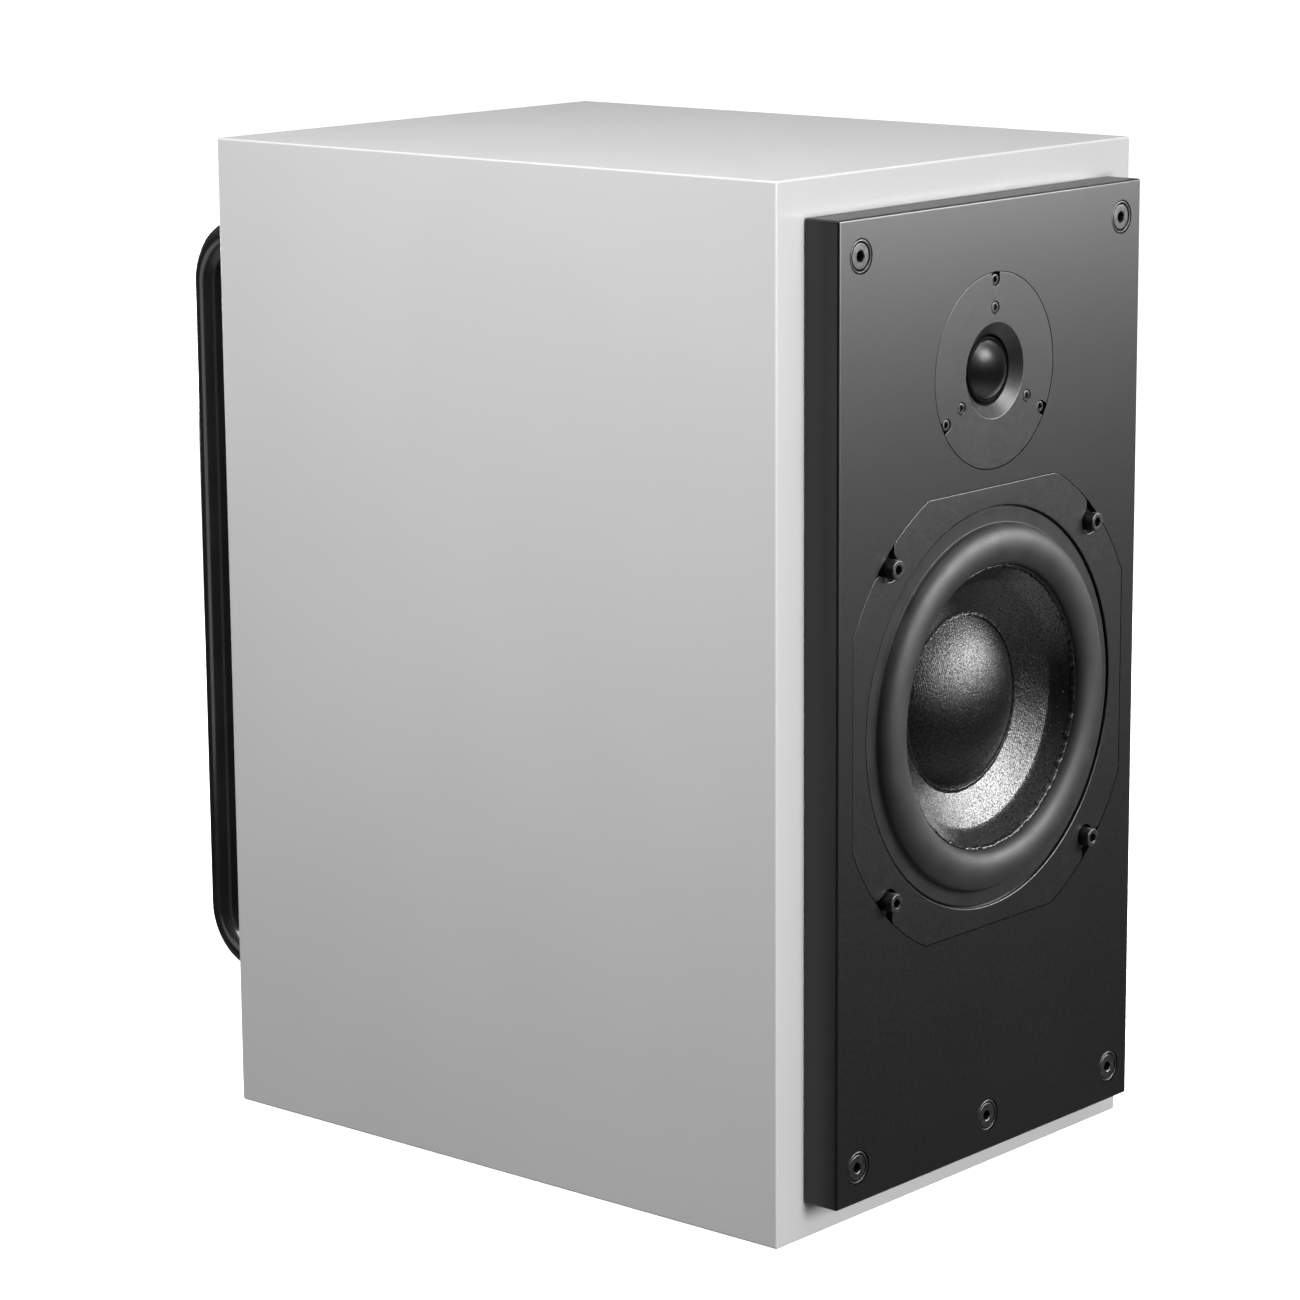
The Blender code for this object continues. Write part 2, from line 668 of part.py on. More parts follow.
def make_electronics():
    """What the panel carries inside the cabinet."""
    low = (-0.068, BOARD_Y, 0.240)
    board = box("circuit_board", low, (0.068, BOARD_Y + 0.0016, 0.398), BOARD_GREEN)
    for index, (x, z) in enumerate([(sx * 0.062, z) for sx in (-1, 1) for z in (0.246, 0.392)]):
        ends = (BOARD_Y + 0.001, PANEL_IN - GAP)
        change(board, bar(f"board post {index}", 0.003, x, z, ends, sides=10), "UNION")
    for index, x in enumerate((-0.032, 0.032)):
        can = [(0, 36), (11.4, 36), (12.5, 34.9), (12.5, 0), (0, 0)]
        place = (x, BOARD_Y - GAP, 0.350)
        turned(f"reservoir_capacitor_{index + 1}", can, place, CAN_SLEEVE, sides=20)

    place = (TOROID[0], PANEL_IN - GAP, TOROID[1])
    ring = [(10, 33), (13, 36), (33, 36), (38, 31), (38, 5), (33, 0), (13, 0), (10, 3)]
    turned("transformer", ring, place, COPPER, sides=32)
    dish = [(0, 41.5), (5, 41.5), (5, 38.8), (24, 38.2), (24, 36.3), (3, 36.3), (3, 0), (0, 0)]
    turned("transformer_clamp", dish, place, BARE_STEEL, sides=24)


def make_mains_inlet():
    """A fused inlet: the recess with its three blades above, the fuse drawer below."""
    x, z = INLET
    low = (x - 0.0160, SEAT, z - 0.0225)
    inlet = box("mains_inlet", low, (x + 0.0160, SEAT + 0.0030, z + 0.0225), PLASTIC)
    low = (x - 0.0138, SEAT - 0.028, z - 0.0203)
    change(inlet, box("inlet body", low, (x + 0.0138, SEAT + 0.001, z + 0.0203)), "UNION")
    low = (x - 0.0120, SEAT - 0.014, z - 0.0010)
    change(inlet, box("inlet recess", low, (x + 0.0120, SEAT + 0.01, z + 0.0165)))
    for index, (blade_x, blade_z) in enumerate(((-0.007, 0.0055), (0.007, 0.0055), (0, 0.0105))):
        low = (x + blade_x - 0.001, SEAT - 0.0145, z + blade_z - 0.002)
        high = (x + blade_x + 0.001, SEAT - 0.0035, z + blade_z + 0.002)
        change(inlet, box(f"blade {index}", low, high), "UNION")
    low = (x - 0.0115, SEAT - 0.020, z - 0.0150)
    change(inlet, box("drawer slot", low, (x + 0.0115, SEAT + 0.01, z - 0.0065)))
    low = (x - 0.0112, SEAT - 0.0195, z - 0.0147)
    drawer = box("fuse_drawer", low, (x + 0.0112, SEAT + 0.0038, z - 0.0068), PLASTIC)
    low = (x - 0.0085, SEAT - 0.016, z - 0.0130)
    change(drawer, box("fuse bay", low, (x + 0.0085, SEAT - 0.004, z)))


def make_signal_socket():
    x, z = SIGNAL
    low = (x - 0.0130, SEAT, z - 0.0155)
    socket = box("signal_socket", low, (x + 0.0130, SEAT + 0.0022, z + 0.0155), PLASTIC)
    body = bar("signal body", 0.0118, x, z, (SEAT - 0.022, SEAT + 0.001), sides=SMALL_ROUND)
    change(socket, body, "UNION")
    groove = [(8.6, 4), (10.6, 4), (10.6, -13), (8.6, -13)]
    change(socket, turned("signal groove", groove, (x, SEAT, z), None, FACING_REAR, SMALL_ROUND))
    for index, angle in enumerate((30, 150, 270)):
        turn = math.radians(angle)
        place = (x + 0.0038 * math.cos(turn), z + 0.0038 * math.sin(turn))
        ends = (SEAT + 0.005, SEAT - 0.012)
        change(socket, bar(f"contact hole {index}", 0.0014, *place, ends, sides=10))


def make_switch():
    """A rocker switch, resting with its upper wing pressed in."""
    x, z = SWITCH
    low = (x - 0.0085, SEAT, z - 0.0118)
    case = box("mains_switch", low, (x + 0.0085, SEAT + 0.0020, z + 0.0118), PLASTIC)
    low = (x - 0.0065, SEAT - 0.014, z - 0.0096)
    change(case, box("switch body", low, (x + 0.0065, SEAT + 0.001, z + 0.0096)), "UNION")
    low = (x - 0.0055, SEAT - 0.005, z - 0.0078)
    change(case, box("switch well", low, (x + 0.0055, SEAT + 0.01, z + 0.0078)))

    curve = bpy.data.curves.new("mains_rocker", "CURVE")
    curve.dimensions = "2D"
    curve.fill_mode = "BOTH"
    curve.extrude = 0.0051
    spline = curve.splines.new("POLY")
    outline = [(-0.0025, -0.006), (-0.0025, 0.006), (0.003, 0.007), (0.0014, 0), (0.003, -0.007)]
    spline.points.add(len(outline) - 1)
    for point, place in zip(spline.points, outline):
        point.co = (*place, 0, 1)
    spline.use_cyclic_u = True
    rocker = bpy.data.objects.new("mains_rocker", curve)
    bpy.context.scene.collection.objects.link(rocker)
    upright = Euler((math.radians(90), 0, math.radians(90))).to_matrix()
    tilted = Matrix.Rotation(ROCKER_TILT, 3, "X") @ upright
    rocker.rotation_euler = tilted.to_euler()
    rocker.location = (x, SEAT + 0.0012, z)
    adopt(rocker, "mains_rocker", PLASTIC)


def make_level_control():
    x, z = LEVEL
    pot = [(3.3, 3.5), (3.7, 3.5), (3.7, -4.0), (8.5, -4.0), (8.5, -13), (3.3, -13)]
    place = (x, SEAT, z)
    turned("level_pot", pot, place, BARE_STEEL, FACING_REAR, 24)
    skirt = [(0, 17), (7.2, 17), (8.0, 16.2), (9.0, 4.3), (9.0, 0.6), (4.4, 0.6), (4.4, 4.2)]
    spindle = [(3.0, 4.2), (3.0, -12.5), (0, -12.5)]
    knob = turned("level_knob", skirt + spindle, place, PLASTIC, FACING_REAR, 24)
    low = (x - 0.0005, SEAT + 0.0060, z + 0.0060)
    change(knob, box("pointer groove", low, (x + 0.0005, SEAT + 0.0180, z + 0.0095)))


def make_speaker():
    woofer = (0, BAFFLE_FRONT, WOOFER_Z)
    tweeter = (0, BAFFLE_FRONT, TWEETER_Z)
    make_cabinet()
    make_inside()
    make_baffle()
    make_woofer_basket(woofer)
    make_woofer_motor(woofer)
    make_woofer_cone(woofer)
    make_tweeter_faceplate(tweeter)
    make_tweeter_motor(tweeter)
    make_tweeter_dome(tweeter)
    make_panel()
    make_heat_sink()
    make_handle("handle_left", -HANDLE_X)
    make_handle("handle_right", HANDLE_X)
    make_electronics()
    make_mains_inlet()
    make_signal_socket()
    make_switch()
    make_level_control()


make_speaker()
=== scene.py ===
"""The looks of the bookshelf speaker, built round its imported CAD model.

Metres, +Z up, the drivers look along -Y. A driver's profile is written in millimetres as
(radius, height[, fillet]), where height 0 is the front of the baffle, or of the amplifier
panel, and heights grow outwards.
"""

import json
import math
import random

import bmesh
import bpy
import numpy as np
from mathutils import Euler, Matrix, Vector


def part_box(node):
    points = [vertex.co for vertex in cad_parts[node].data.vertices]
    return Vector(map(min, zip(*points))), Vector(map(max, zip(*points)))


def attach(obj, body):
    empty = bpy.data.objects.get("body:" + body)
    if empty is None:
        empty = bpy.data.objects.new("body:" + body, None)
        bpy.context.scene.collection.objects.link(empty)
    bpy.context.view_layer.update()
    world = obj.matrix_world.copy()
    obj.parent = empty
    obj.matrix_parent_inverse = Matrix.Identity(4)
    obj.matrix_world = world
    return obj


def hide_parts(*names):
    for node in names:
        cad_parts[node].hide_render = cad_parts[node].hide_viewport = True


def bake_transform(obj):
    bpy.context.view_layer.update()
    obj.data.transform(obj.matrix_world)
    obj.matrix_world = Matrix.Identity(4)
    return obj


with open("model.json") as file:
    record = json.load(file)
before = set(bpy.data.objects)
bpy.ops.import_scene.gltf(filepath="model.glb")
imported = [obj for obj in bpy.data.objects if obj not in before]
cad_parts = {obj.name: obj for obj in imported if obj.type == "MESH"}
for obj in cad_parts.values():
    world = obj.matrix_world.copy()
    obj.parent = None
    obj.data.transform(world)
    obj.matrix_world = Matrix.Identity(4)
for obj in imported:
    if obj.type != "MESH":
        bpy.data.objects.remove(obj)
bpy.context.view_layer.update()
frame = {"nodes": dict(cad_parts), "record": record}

MM = 0.001
GAP = 0.0003
FINE = 256
MEDIUM = 96
SMALL = 48
FRONT_FACING = -1
REAR_FACING = 1


def middle(node):
    low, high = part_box(node)
    return (low + high) / 2


CABINET_LOW, CABINET_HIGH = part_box("cabinet_shell")
BAFFLE_LOW, BAFFLE_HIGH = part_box("front_baffle")
PANEL_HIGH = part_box("amp_panel")[1]
FRONT = BAFFLE_LOW.y
SEAT = PANEL_HIGH.y + GAP
WOOFER = Vector((0, FRONT, middle("woofer_dome").z))
TWEETER = Vector((0, FRONT, middle("tweeter_dome").z))


# ---------------------------------------------------------------- meshes


def place_object(name, mesh):
    obj = bpy.data.objects.new(name, mesh)
    bpy.context.scene.collection.objects.link(obj)
    return obj


def make_object(name, points, faces):
    """A mesh object with all its faces turned outwards."""
    mesh = bpy.data.meshes.new(name)
    mesh.from_pydata([tuple(p) for p in points], [], faces)
    shape = bmesh.new()
    shape.from_mesh(mesh)
    bmesh.ops.recalc_face_normals(shape, faces=shape.faces)
    shape.to_mesh(mesh)
    shape.free()
    return place_object(name, mesh)


def fillet(corners, closed, steps=5):
    """Corners (a, b[, radius]) with an arc in place of each corner that has a radius."""
    points = []
    count = len(corners)
    for index, corner in enumerate(corners):
        here = np.array(corner[:2], float)
        radius = corner[2] if len(corner) > 2 else 0
        if not radius or (not closed and index in (0, count - 1)):
            points.append(tuple(here))
            continue
        back = np.array(corners[index - 1][:2], float) - here
        ahead = np.array(corners[(index + 1) % count][:2], float) - here
        back /= np.linalg.norm(back)
        ahead /= np.linalg.norm(ahead)
        opening = math.acos(max(-1.0, min(1.0, float(back @ ahead))))
        reach = radius / math.tan(opening / 2)
        inward = (back + ahead) / np.linalg.norm(back + ahead)
        centre = here + inward * radius / math.sin(opening / 2)
        start = here + back * reach - centre
        end = here + ahead * reach - centre
        sweep = math.pi - opening
        for step in range(steps + 1):
            t = step / steps
            mixed = math.sin((1 - t) * sweep) * start + math.sin(t * sweep) * end
            points.append(tuple(centre + mixed / math.sin(sweep)))
    return points


def lathe(name, profile, place, facing=FRONT_FACING, sides=FINE, steps=5, ripple=None):
    """A profile turned about the line along Y through place. Off the axis, it is a closed ring."""
    ring = min(corner[0] for corner in profile) > 0
    rows = []
    points = []
    for radius, height in fillet(profile, ring, steps):
        count = sides if radius > 1e-6 else 1
        rows.append([len(points) + i for i in range(count)])
        for i in range(count):
            angle = 2 * math.pi * i / sides
            scale = ripple(angle, radius, height) if ripple else 1
            out = radius * scale * MM
            turned = Vector((math.cos(angle) * out, facing * height * MM, math.sin(angle) * out))
            points.append(place + turned)
    faces = []
    pairs = list(zip(rows, rows[1:]))
    if ring:
        pairs.append((rows[-1], rows[0]))
    for first, second in pairs:
        for i in range(sides):
            j = (i + 1) % sides
            if len(first) == 1:
                faces.append((first[0], second[i], second[j]))
            elif len(second) == 1:
                faces.append((first[i], second[0], first[j]))
            else:
                faces.append((first[i], second[i], second[j], first[j]))
    return make_object(name, points, faces)


def extrude(name, outline, low, high, axis="Y"):
    """An outline pulled straight from low to high. Its points are (x, z) along Y, (x, y) along Z
    and (y, z) along X."""
    order = {"X": (2, 0, 1), "Y": (0, 2, 1), "Z": (0, 1, 2)}[axis]
    count = len(outline)
    points = []
    for level in (low, high):
        for a, b in outline:
            values = (a, b, level)
            points.append(tuple(values[k] for k in order))
    faces = [(i, (i + 1) % count, count + (i + 1) % count, count + i) for i in range(count)]
    faces += [tuple(range(count)), tuple(range(count, 2 * count))]
    return make_object(name, points, faces)


def block(name, low, high):
    low = Vector(low)
    high = Vector(high)
    outline = [(low.x, low.z), (high.x, low.z), (high.x, high.z), (low.x, high.z)]
    return extrude(name, outline, low.y, high.y)


def settle(obj):
    """The modifiers' result becomes the mesh."""
    bpy.context.view_layer.update()
    graph = bpy.context.evaluated_depsgraph_get()
    mesh = bpy.data.meshes.new_from_object(obj.evaluated_get(graph))
    obj.modifiers.clear()
    old = obj.data
    obj.data = mesh
    bpy.data.meshes.remove(old)
    return obj


def cut(obj, tool, operation="DIFFERENCE"):
    step = obj.modifiers.new("cut", "BOOLEAN")
    step.operation = operation
    step.solver = "EXACT"
    step.object = tool
    settle(obj)
    bpy.data.objects.remove(tool)
    return obj


def round_edges(obj, width, segments=3, angle=40, where=None):
    """Rounds the edges sharper than angle or, with where, those of them that it picks."""
    shape = bmesh.new()
    shape.from_mesh(obj.data)
    weight = shape.edges.layers.float.new("bevel_weight_edge")
    for edge in shape.edges:
        sharp = len(edge.link_faces) == 2 and edge.calc_face_angle(0) > math.radians(angle)
        picked = where is None or all(where(vert.co) for vert in edge.verts)
        edge[weight] = 1.0 if sharp and picked else 0.0
    shape.to_mesh(obj.data)
    shape.free()
    step = obj.modifiers.new("rounded edges", "BEVEL")
    step.limit_method = "WEIGHT"
    step.width = width
    step.segments = segments
    step.use_clamp_overlap = False
    return settle(obj)


def on_front(point):
    return abs(point.y - FRONT) < 0.00002


def shade(obj, angle=32):
    """Smooth shading that keeps real corners and flat faces."""
    obj.data.shade_smooth()
    obj.data.set_sharp_from_angle(angle=math.radians(angle))
    step = obj.modifiers.new("normals", "WEIGHTED_NORMAL")
    step.keep_sharp = True
    return settle(obj)


def show(obj, finish, body="cabinet", nodes=(), angle=32):
    """Shades a piece, gives it its finish and its body, and lets it stand for its CAD nodes."""
    shade(obj, angle)
    obj.data.materials.clear()
    obj.data.materials.append(finish.material)
    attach(obj, body)
    if nodes:
        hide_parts(*nodes)
    return obj


# ---------------------------------------------------------------- finishes


class Finish:
    """A material and the nodes behind its shader."""

    def __init__(self, slot, colour, roughness, metallic=0.0, **sockets):
        self.slot = slot
        self.material = bpy.data.materials.new("fine_" + slot)
        self.material.use_nodes = True
        self.tree = self.material.node_tree
        self.shader = self.tree.nodes["Principled BSDF"]
        self.coordinates = self.node("ShaderNodeTexCoord").outputs["Object"]
        self.colour = colour
        self.height = None
        self.shader.inputs["Base Color"].default_value = (*colour, 1)
        self.shader.inputs["Roughness"].default_value = roughness
        self.shader.inputs["Metallic"].default_value = metallic
        for socket, value in sockets.items():
            self.shader.inputs[socket.replace("_", " ")].default_value = value

    def node(self, kind, links=(), values=(), **settings):
        made = self.tree.nodes.new(kind)
        for setting, value in settings.items():
            setattr(made, setting, value)
        for socket, value in dict(values).items():
            made.inputs[socket].default_value = value
        for socket, source in dict(links).items():
            self.tree.links.new(source, made.inputs[socket])
        return made

    def math(self, operation, a, b=None):
        made = self.node("ShaderNodeMath", operation=operation)
        for index, value in enumerate((a, b)):
            if value is None:
                continue
            if isinstance(value, (int, float)):
                made.inputs[index].default_value = value
            else:
                self.tree.links.new(value, made.inputs[index])
        return made.outputs[0]

    def noise(self, size, detail=2.0, rough=0.5, stretch=None):
        """Noise whose blotches are about size metres across."""
        source = self.coordinates
        if stretch:
            stretched = self.node("ShaderNodeMapping", {"Vector": source}, {"Scale": stretch})
            source = stretched.outputs["Vector"]
        made = self.node(
            "ShaderNodeTexNoise",
            {"Vector": source},
            {"Scale": 1 / size, "Detail": detail, "Roughness": rough},
        )
        return made.outputs["Fac"]

    def cells(self, size, feature="F1"):
        made = self.node(
            "ShaderNodeTexVoronoi", {"Vector": self.coordinates}, {"Scale": 1 / size}, feature=feature
        )
        return made.outputs["Distance"]

    def away_from_woofer(self):
        """The distance from the woofer's axis, in metres."""
        axes = self.node("ShaderNodeSeparateXYZ", {"Vector": self.coordinates}).outputs
        lift = self.math("SUBTRACT", axes["Z"], WOOFER.z)
        square = self.math("ADD", self.math("POWER", axes["X"], 2), self.math("POWER", lift, 2))
        return self.math("SQRT", square)

    def spread(self, source, low, high, out_low, out_high):
        made = self.node(
            "ShaderNodeMapRange",
            {"Value": source},
            {"From Min": low, "From Max": high, "To Min": out_low, "To Max": out_high},
        )
        made.interpolation_type = "SMOOTHSTEP"
        return made.outputs["Result"]

    def tint(self, source, other, low=0.35, high=0.65):
        """The colour turns into other where source is high."""
        share = self.spread(source, low, high, 0.0, 1.0)
        mix = self.node("ShaderNodeMix", {"Factor": share}, data_type="RGBA")
        previous = self.shader.inputs["Base Color"]
        if previous.links:
            self.tree.links.new(previous.links[0].from_socket, mix.inputs["A"])
        else:
            mix.inputs["A"].default_value = (*self.colour, 1)
        mix.inputs["B"].default_value = (*other, 1)
        self.tree.links.new(mix.outputs["Result"], previous)
        return self

    def gloss(self, source, rough_low, rough_high, low=0.3, high=0.7):
        result = self.spread(source, low, high, rough_low, rough_high)
        self.tree.links.new(result, self.shader.inputs["Roughness"])
        return self

    def bump(self, source, depth, strength=1.0):
        """Adds relief: depth metres between source 0 and 1."""
        values = {"Distance": depth, "Strength": strength}
        made = self.node("ShaderNodeBump", {"Height": source}, values)
        if self.height is not None:
            self.tree.links.new(self.height, made.inputs["Normal"])
        self.height = made.outputs["Normal"]
        self.tree.links.new(self.height, self.shader.inputs["Normal"])
        return self


def white_lacquer():
    made = Finish("white_paint", (0.70, 0.70, 0.70), 0.36, Coat_Weight=0.15, Coat_Roughness=0.25)
    made.tint(made.noise(0.09, 3), (0.685, 0.686, 0.69))
    made.gloss(made.noise(0.004, 3), 0.33, 0.40)
    made.bump(made.noise(0.0035, 2), 0.00002, 0.35)
    return made


def black_lacquer():
    made = Finish("black_paint", (0.0028, 0.0028, 0.0029), 0.355, Specular_IOR_Level=0.62)
    made.tint(made.noise(0.06, 3), (0.0036, 0.0036, 0.0037))
    made.gloss(made.noise(0.002, 3), 0.34, 0.37)
    made.bump(made.noise(0.0007, 2), 0.00002, 0.35)
    return made


def cast_coat():
    made = Finish("cast_black", (0.0045, 0.0045, 0.0047), 0.36, Specular_IOR_Level=0.6)
    made.tint(made.noise(0.03, 3), (0.0060, 0.0060, 0.0062))
    made.gloss(made.noise(0.0015, 3), 0.34, 0.38)
    made.bump(made.noise(0.0006, 3), 0.00003, 0.5)
    return made


def moulded_rubber():
    """Satin on the surround's roll, duller on the flat lip outside it."""
    made = Finish("rubber", (0.012, 0.012, 0.0122), 0.52)
    lip = made.away_from_woofer()
    shine = made.spread(lip, 0.0790, 0.0800, 0.34, 0.14)
    made.tree.links.new(shine, made.shader.inputs["Specular IOR Level"])
    made.tint(made.noise(0.012, 4), (0.016, 0.016, 0.0162))
    made.gloss(made.noise(0.005, 3), 0.50, 0.56)
    made.bump(made.noise(0.0006, 2), 0.00002, 0.4)
    return made


def doped_cloth(shine, rim=None):
    """Coarse cloth brushed with doping that dries in specks. Beyond radius rim it is smoother."""
    made = Finish("doped_cloth", (0.004, 0.004, 0.0042), 0.30)
    axes = made.node("ShaderNodeSeparateXYZ", {"Vector": made.coordinates}).outputs
    thread = 2 * math.pi / 0.00085
    across = made.math("SINE", made.math("MULTIPLY", axes["X"], thread))
    along = made.math("SINE", made.math("MULTIPLY", axes["Z"], thread))
    weave = made.math("ADD", across, made.math("MULTIPLY", along, 0.5))
    weave = made.math("MULTIPLY", weave, made.spread(made.noise(0.006, 3), 0.35, 0.65, 0.3, 1.0))
    specks = made.noise(0.0008, 3, 0.7)
    grain = made.noise(0.0009, 3, 0.7)
    polish = made.spread(specks, 0.38, 0.55, 0.22 * shine, shine)
    made.tree.links.new(polish, made.shader.inputs["Specular IOR Level"])
    made.tint(made.noise(0.0012, 3), (0.010, 0.010, 0.0105), 0.5, 0.75)
    made.gloss(grain, 0.20, 0.36)
    if rim:
        outer = made.spread(made.away_from_woofer(), rim - 0.0012, rim + 0.0016, 0.0, 1.0)
        rough = made.node("ShaderNodeMix", {"Factor": outer}, {"B": 0.19})
        made.tree.links.new(made.shader.inputs["Roughness"].links[0].from_socket, rough.inputs["A"])
        made.tree.links.new(rough.outputs["Result"], made.shader.inputs["Roughness"])
        grain = made.math("MULTIPLY", grain, made.math("SUBTRACT", 1.0, made.math("MULTIPLY", outer, 0.8)))
    made.bump(weave, 0.00003, 0.6)
    made.bump(grain, 0.00030, 0.7)
    return made


def tweeter_silk():
    made = Finish("doped_cloth", (0.005, 0.005, 0.0052), 0.36, Specular_IOR_Level=0.75)
    made.tint(made.noise(0.0008, 2), (0.008, 0.008, 0.0083))
    made.gloss(made.noise(0.0010, 2), 0.33, 0.38)
    made.bump(made.noise(0.0005, 2), 0.00002, 0.4)
    return made


def dried_glue():
    made = Finish("doped_cloth", (0.004, 0.004, 0.0042), 0.24, Specular_IOR_Level=0.35)
    made.tint(made.noise(0.002, 2), (0.010, 0.010, 0.0102))
    made.gloss(made.noise(0.0015, 2), 0.18, 0.32)
    made.bump(made.noise(0.0012, 2), 0.0003, 0.6)
    return made


def black_oxide():
    made = Finish("black_steel", (0.050, 0.050, 0.052), 0.36, 0.85)
    made.tint(made.noise(0.0025, 3), (0.075, 0.075, 0.077))
    made.gloss(made.noise(0.001, 3), 0.30, 0.44)
    made.bump(made.noise(0.0004, 2), 0.00001, 0.5)
    return made


def machined_steel():
    made = Finish("bare_steel", (0.52, 0.52, 0.53), 0.32, 1.0)
    made.tint(made.noise(0.01, 3), (0.60, 0.60, 0.60))
    made.gloss(made.noise(0.0004, 3, 0.6, (1, 1, 12)), 0.25, 0.42)
    made.bump(made.noise(0.0004, 2, 0.6, (1, 1, 12)), 0.00001, 0.5)
    return made


def bare_board():
    made = Finish("bare_board", (0.42, 0.31, 0.20), 0.82)
    made.tint(made.noise(0.0015, 4, 0.6, (1, 1, 5)), (0.33, 0.23, 0.14))
    made.gloss(made.noise(0.002, 3), 0.76, 0.9)
    made.bump(made.noise(0.0008, 4), 0.0001, 0.6)
    return made


def foam():
    made = Finish("foam", (0.055, 0.055, 0.058), 0.95)
    made.tint(made.cells(0.0025), (0.025, 0.025, 0.027), 0.2, 0.7)
    made.gloss(made.noise(0.004), 0.9, 1.0)
    made.bump(made.cells(0.0025), 0.0012, 0.8)
    return made


def spider_cloth():
    made = Finish("spider_cloth", (0.45, 0.30, 0.12), 0.78)
    axes = made.node("ShaderNodeSeparateXYZ", {"Vector": made.coordinates}).outputs
    across = made.math("SINE", made.math("MULTIPLY", axes["X"], 2 * math.pi / 0.0009))
    along = made.math("SINE", made.math("MULTIPLY", axes["Z"], 2 * math.pi / 0.0009))
    weave = made.math("MULTIPLY", across, along)
    made.tint(weave, (0.30, 0.18, 0.06), -0.4, 0.5)
    made.gloss(made.noise(0.003), 0.7, 0.85)
    made.bump(weave, 0.0001, 0.7)
    return made


def ferrite():
    made = Finish("ferrite", (0.055, 0.055, 0.060), 0.62)
    made.tint(made.noise(0.004, 4), (0.085, 0.085, 0.09))
    made.gloss(made.noise(0.002, 3), 0.52, 0.72)
    made.bump(made.noise(0.001, 4), 0.00005, 0.6)
    return made


def copper_wire():
    made = Finish("copper", (0.72, 0.32, 0.16), 0.30, 0.9, Coat_Weight=0.6, Coat_Roughness=0.15)
    axes = made.node("ShaderNodeSeparateXYZ", {"Vector": made.coordinates}).outputs
    turns = made.math("SINE", made.math("MULTIPLY", axes["Y"], 2 * math.pi / 0.0008))
    made.tint(turns, (0.50, 0.19, 0.08), -0.9, 0.2)
    made.gloss(made.noise(0.002), 0.25, 0.4)
    made.bump(turns, 0.0001, 0.6)
    return made


def panel_coat():
    made = Finish("panel_black", (0.020, 0.020, 0.021), 0.48)
    made.tint(made.noise(0.02, 4), (0.026, 0.026, 0.027))
    made.gloss(made.noise(0.0012, 3), 0.42, 0.56)
    made.bump(made.noise(0.0009, 3), 0.00008, 0.6)
    return made


def anodised():
    made = Finish("black_anodised", (0.028, 0.028, 0.030), 0.40, 0.75)
    made.tint(made.noise(0.0008, 3, 0.6, (8, 8, 0.3)), (0.040, 0.040, 0.043))
    made.gloss(made.noise(0.0006, 3, 0.6, (6, 6, 0.2)), 0.34, 0.50)
    made.bump(made.noise(0.0005, 2, 0.6, (6, 6, 0.2)), 0.00002, 0.5)
    return made


def gloss_tube():
    made = Finish("handle_black", (0.014, 0.014, 0.015), 0.20, Coat_Weight=0.4, Coat_Roughness=0.08)
    made.tint(made.noise(0.03, 3), (0.018, 0.018, 0.019))
    made.gloss(made.noise(0.004, 3), 0.17, 0.25)
    made.bump(made.noise(0.003, 2), 0.00002, 0.3)
    return made


def moulded_plastic():
    made = Finish("black_plastic", (0.022, 0.022, 0.023), 0.45)
    made.tint(made.noise(0.006, 3), (0.028, 0.028, 0.029))
    made.gloss(made.noise(0.001, 3), 0.38, 0.52)
    made.bump(made.cells(0.0005), 0.00002, 0.5)
    return made


def solder_mask():
    made = Finish("circuit_green", (0.02, 0.13, 0.05), 0.35, Coat_Weight=0.5, Coat_Roughness=0.2)
    made.tint(made.cells(0.006, "DISTANCE_TO_EDGE"), (0.03, 0.20, 0.08), 0.1, 0.2)
    made.gloss(made.noise(0.004), 0.3, 0.42)
    made.bump(made.cells(0.006, "DISTANCE_TO_EDGE"), 0.00004, 0.5)
    return made


def can_sleeve():
    made = Finish("capacitor_sleeve", (0.04, 0.05, 0.10), 0.30, Coat_Weight=0.3)
    made.tint(made.noise(0.01, 2), (0.05, 0.06, 0.12))
    made.gloss(made.noise(0.003), 0.25, 0.38)
    made.bump(made.noise(0.004, 2), 0.00004, 0.4)
    return made


WHITE = white_lacquer()
BLACK = black_lacquer()
CAST = cast_coat()
RUBBER = moulded_rubber()
CLOTH = doped_cloth(0.85, 0.0536)
DOME_CLOTH = doped_cloth(0.42)
SILK = tweeter_silk()
GLUE = dried_glue()
OXIDE = black_oxide()
STEEL = machined_steel()
BOARD = bare_board()
FOAM = foam()
SPIDER = spider_cloth()
FERRITE = ferrite()
COPPER = copper_wire()
PANEL = panel_coat()
ANODISED = anodised()
TUBE = gloss_tube()
PLASTIC = moulded_plastic()
SOLDER = solder_mask()
SLEEVE = can_sleeve()


# ---------------------------------------------------------------- cabinet and baffle


def make_cabinet():
    shell = block("cabinet", CABINET_LOW, CABINET_HIGH)
    round_edges(shell, 0.0010, 4)
    wall = 0.018
    inner = (CABINET_LOW + Vector((wall, wall, wall)), CABINET_HIGH - Vector((wall, wall, wall)))
    cut(shell, block("cavity", *inner))
    centre = (CABINET_LOW.z + CABINET_HIGH.z) / 2
    for width, height, y in ((0.188, 0.354, CABINET_LOW.y), (0.160, 0.362, CABINET_HIGH.y)):
        low = (-width / 2, y - wall - 0.002, centre - height / 2)
        high = (width / 2, y + wall + 0.002, centre + height / 2)
        cut(shell, block("opening", low, high))
    show(shell, WHITE, nodes=["cabinet_shell"])


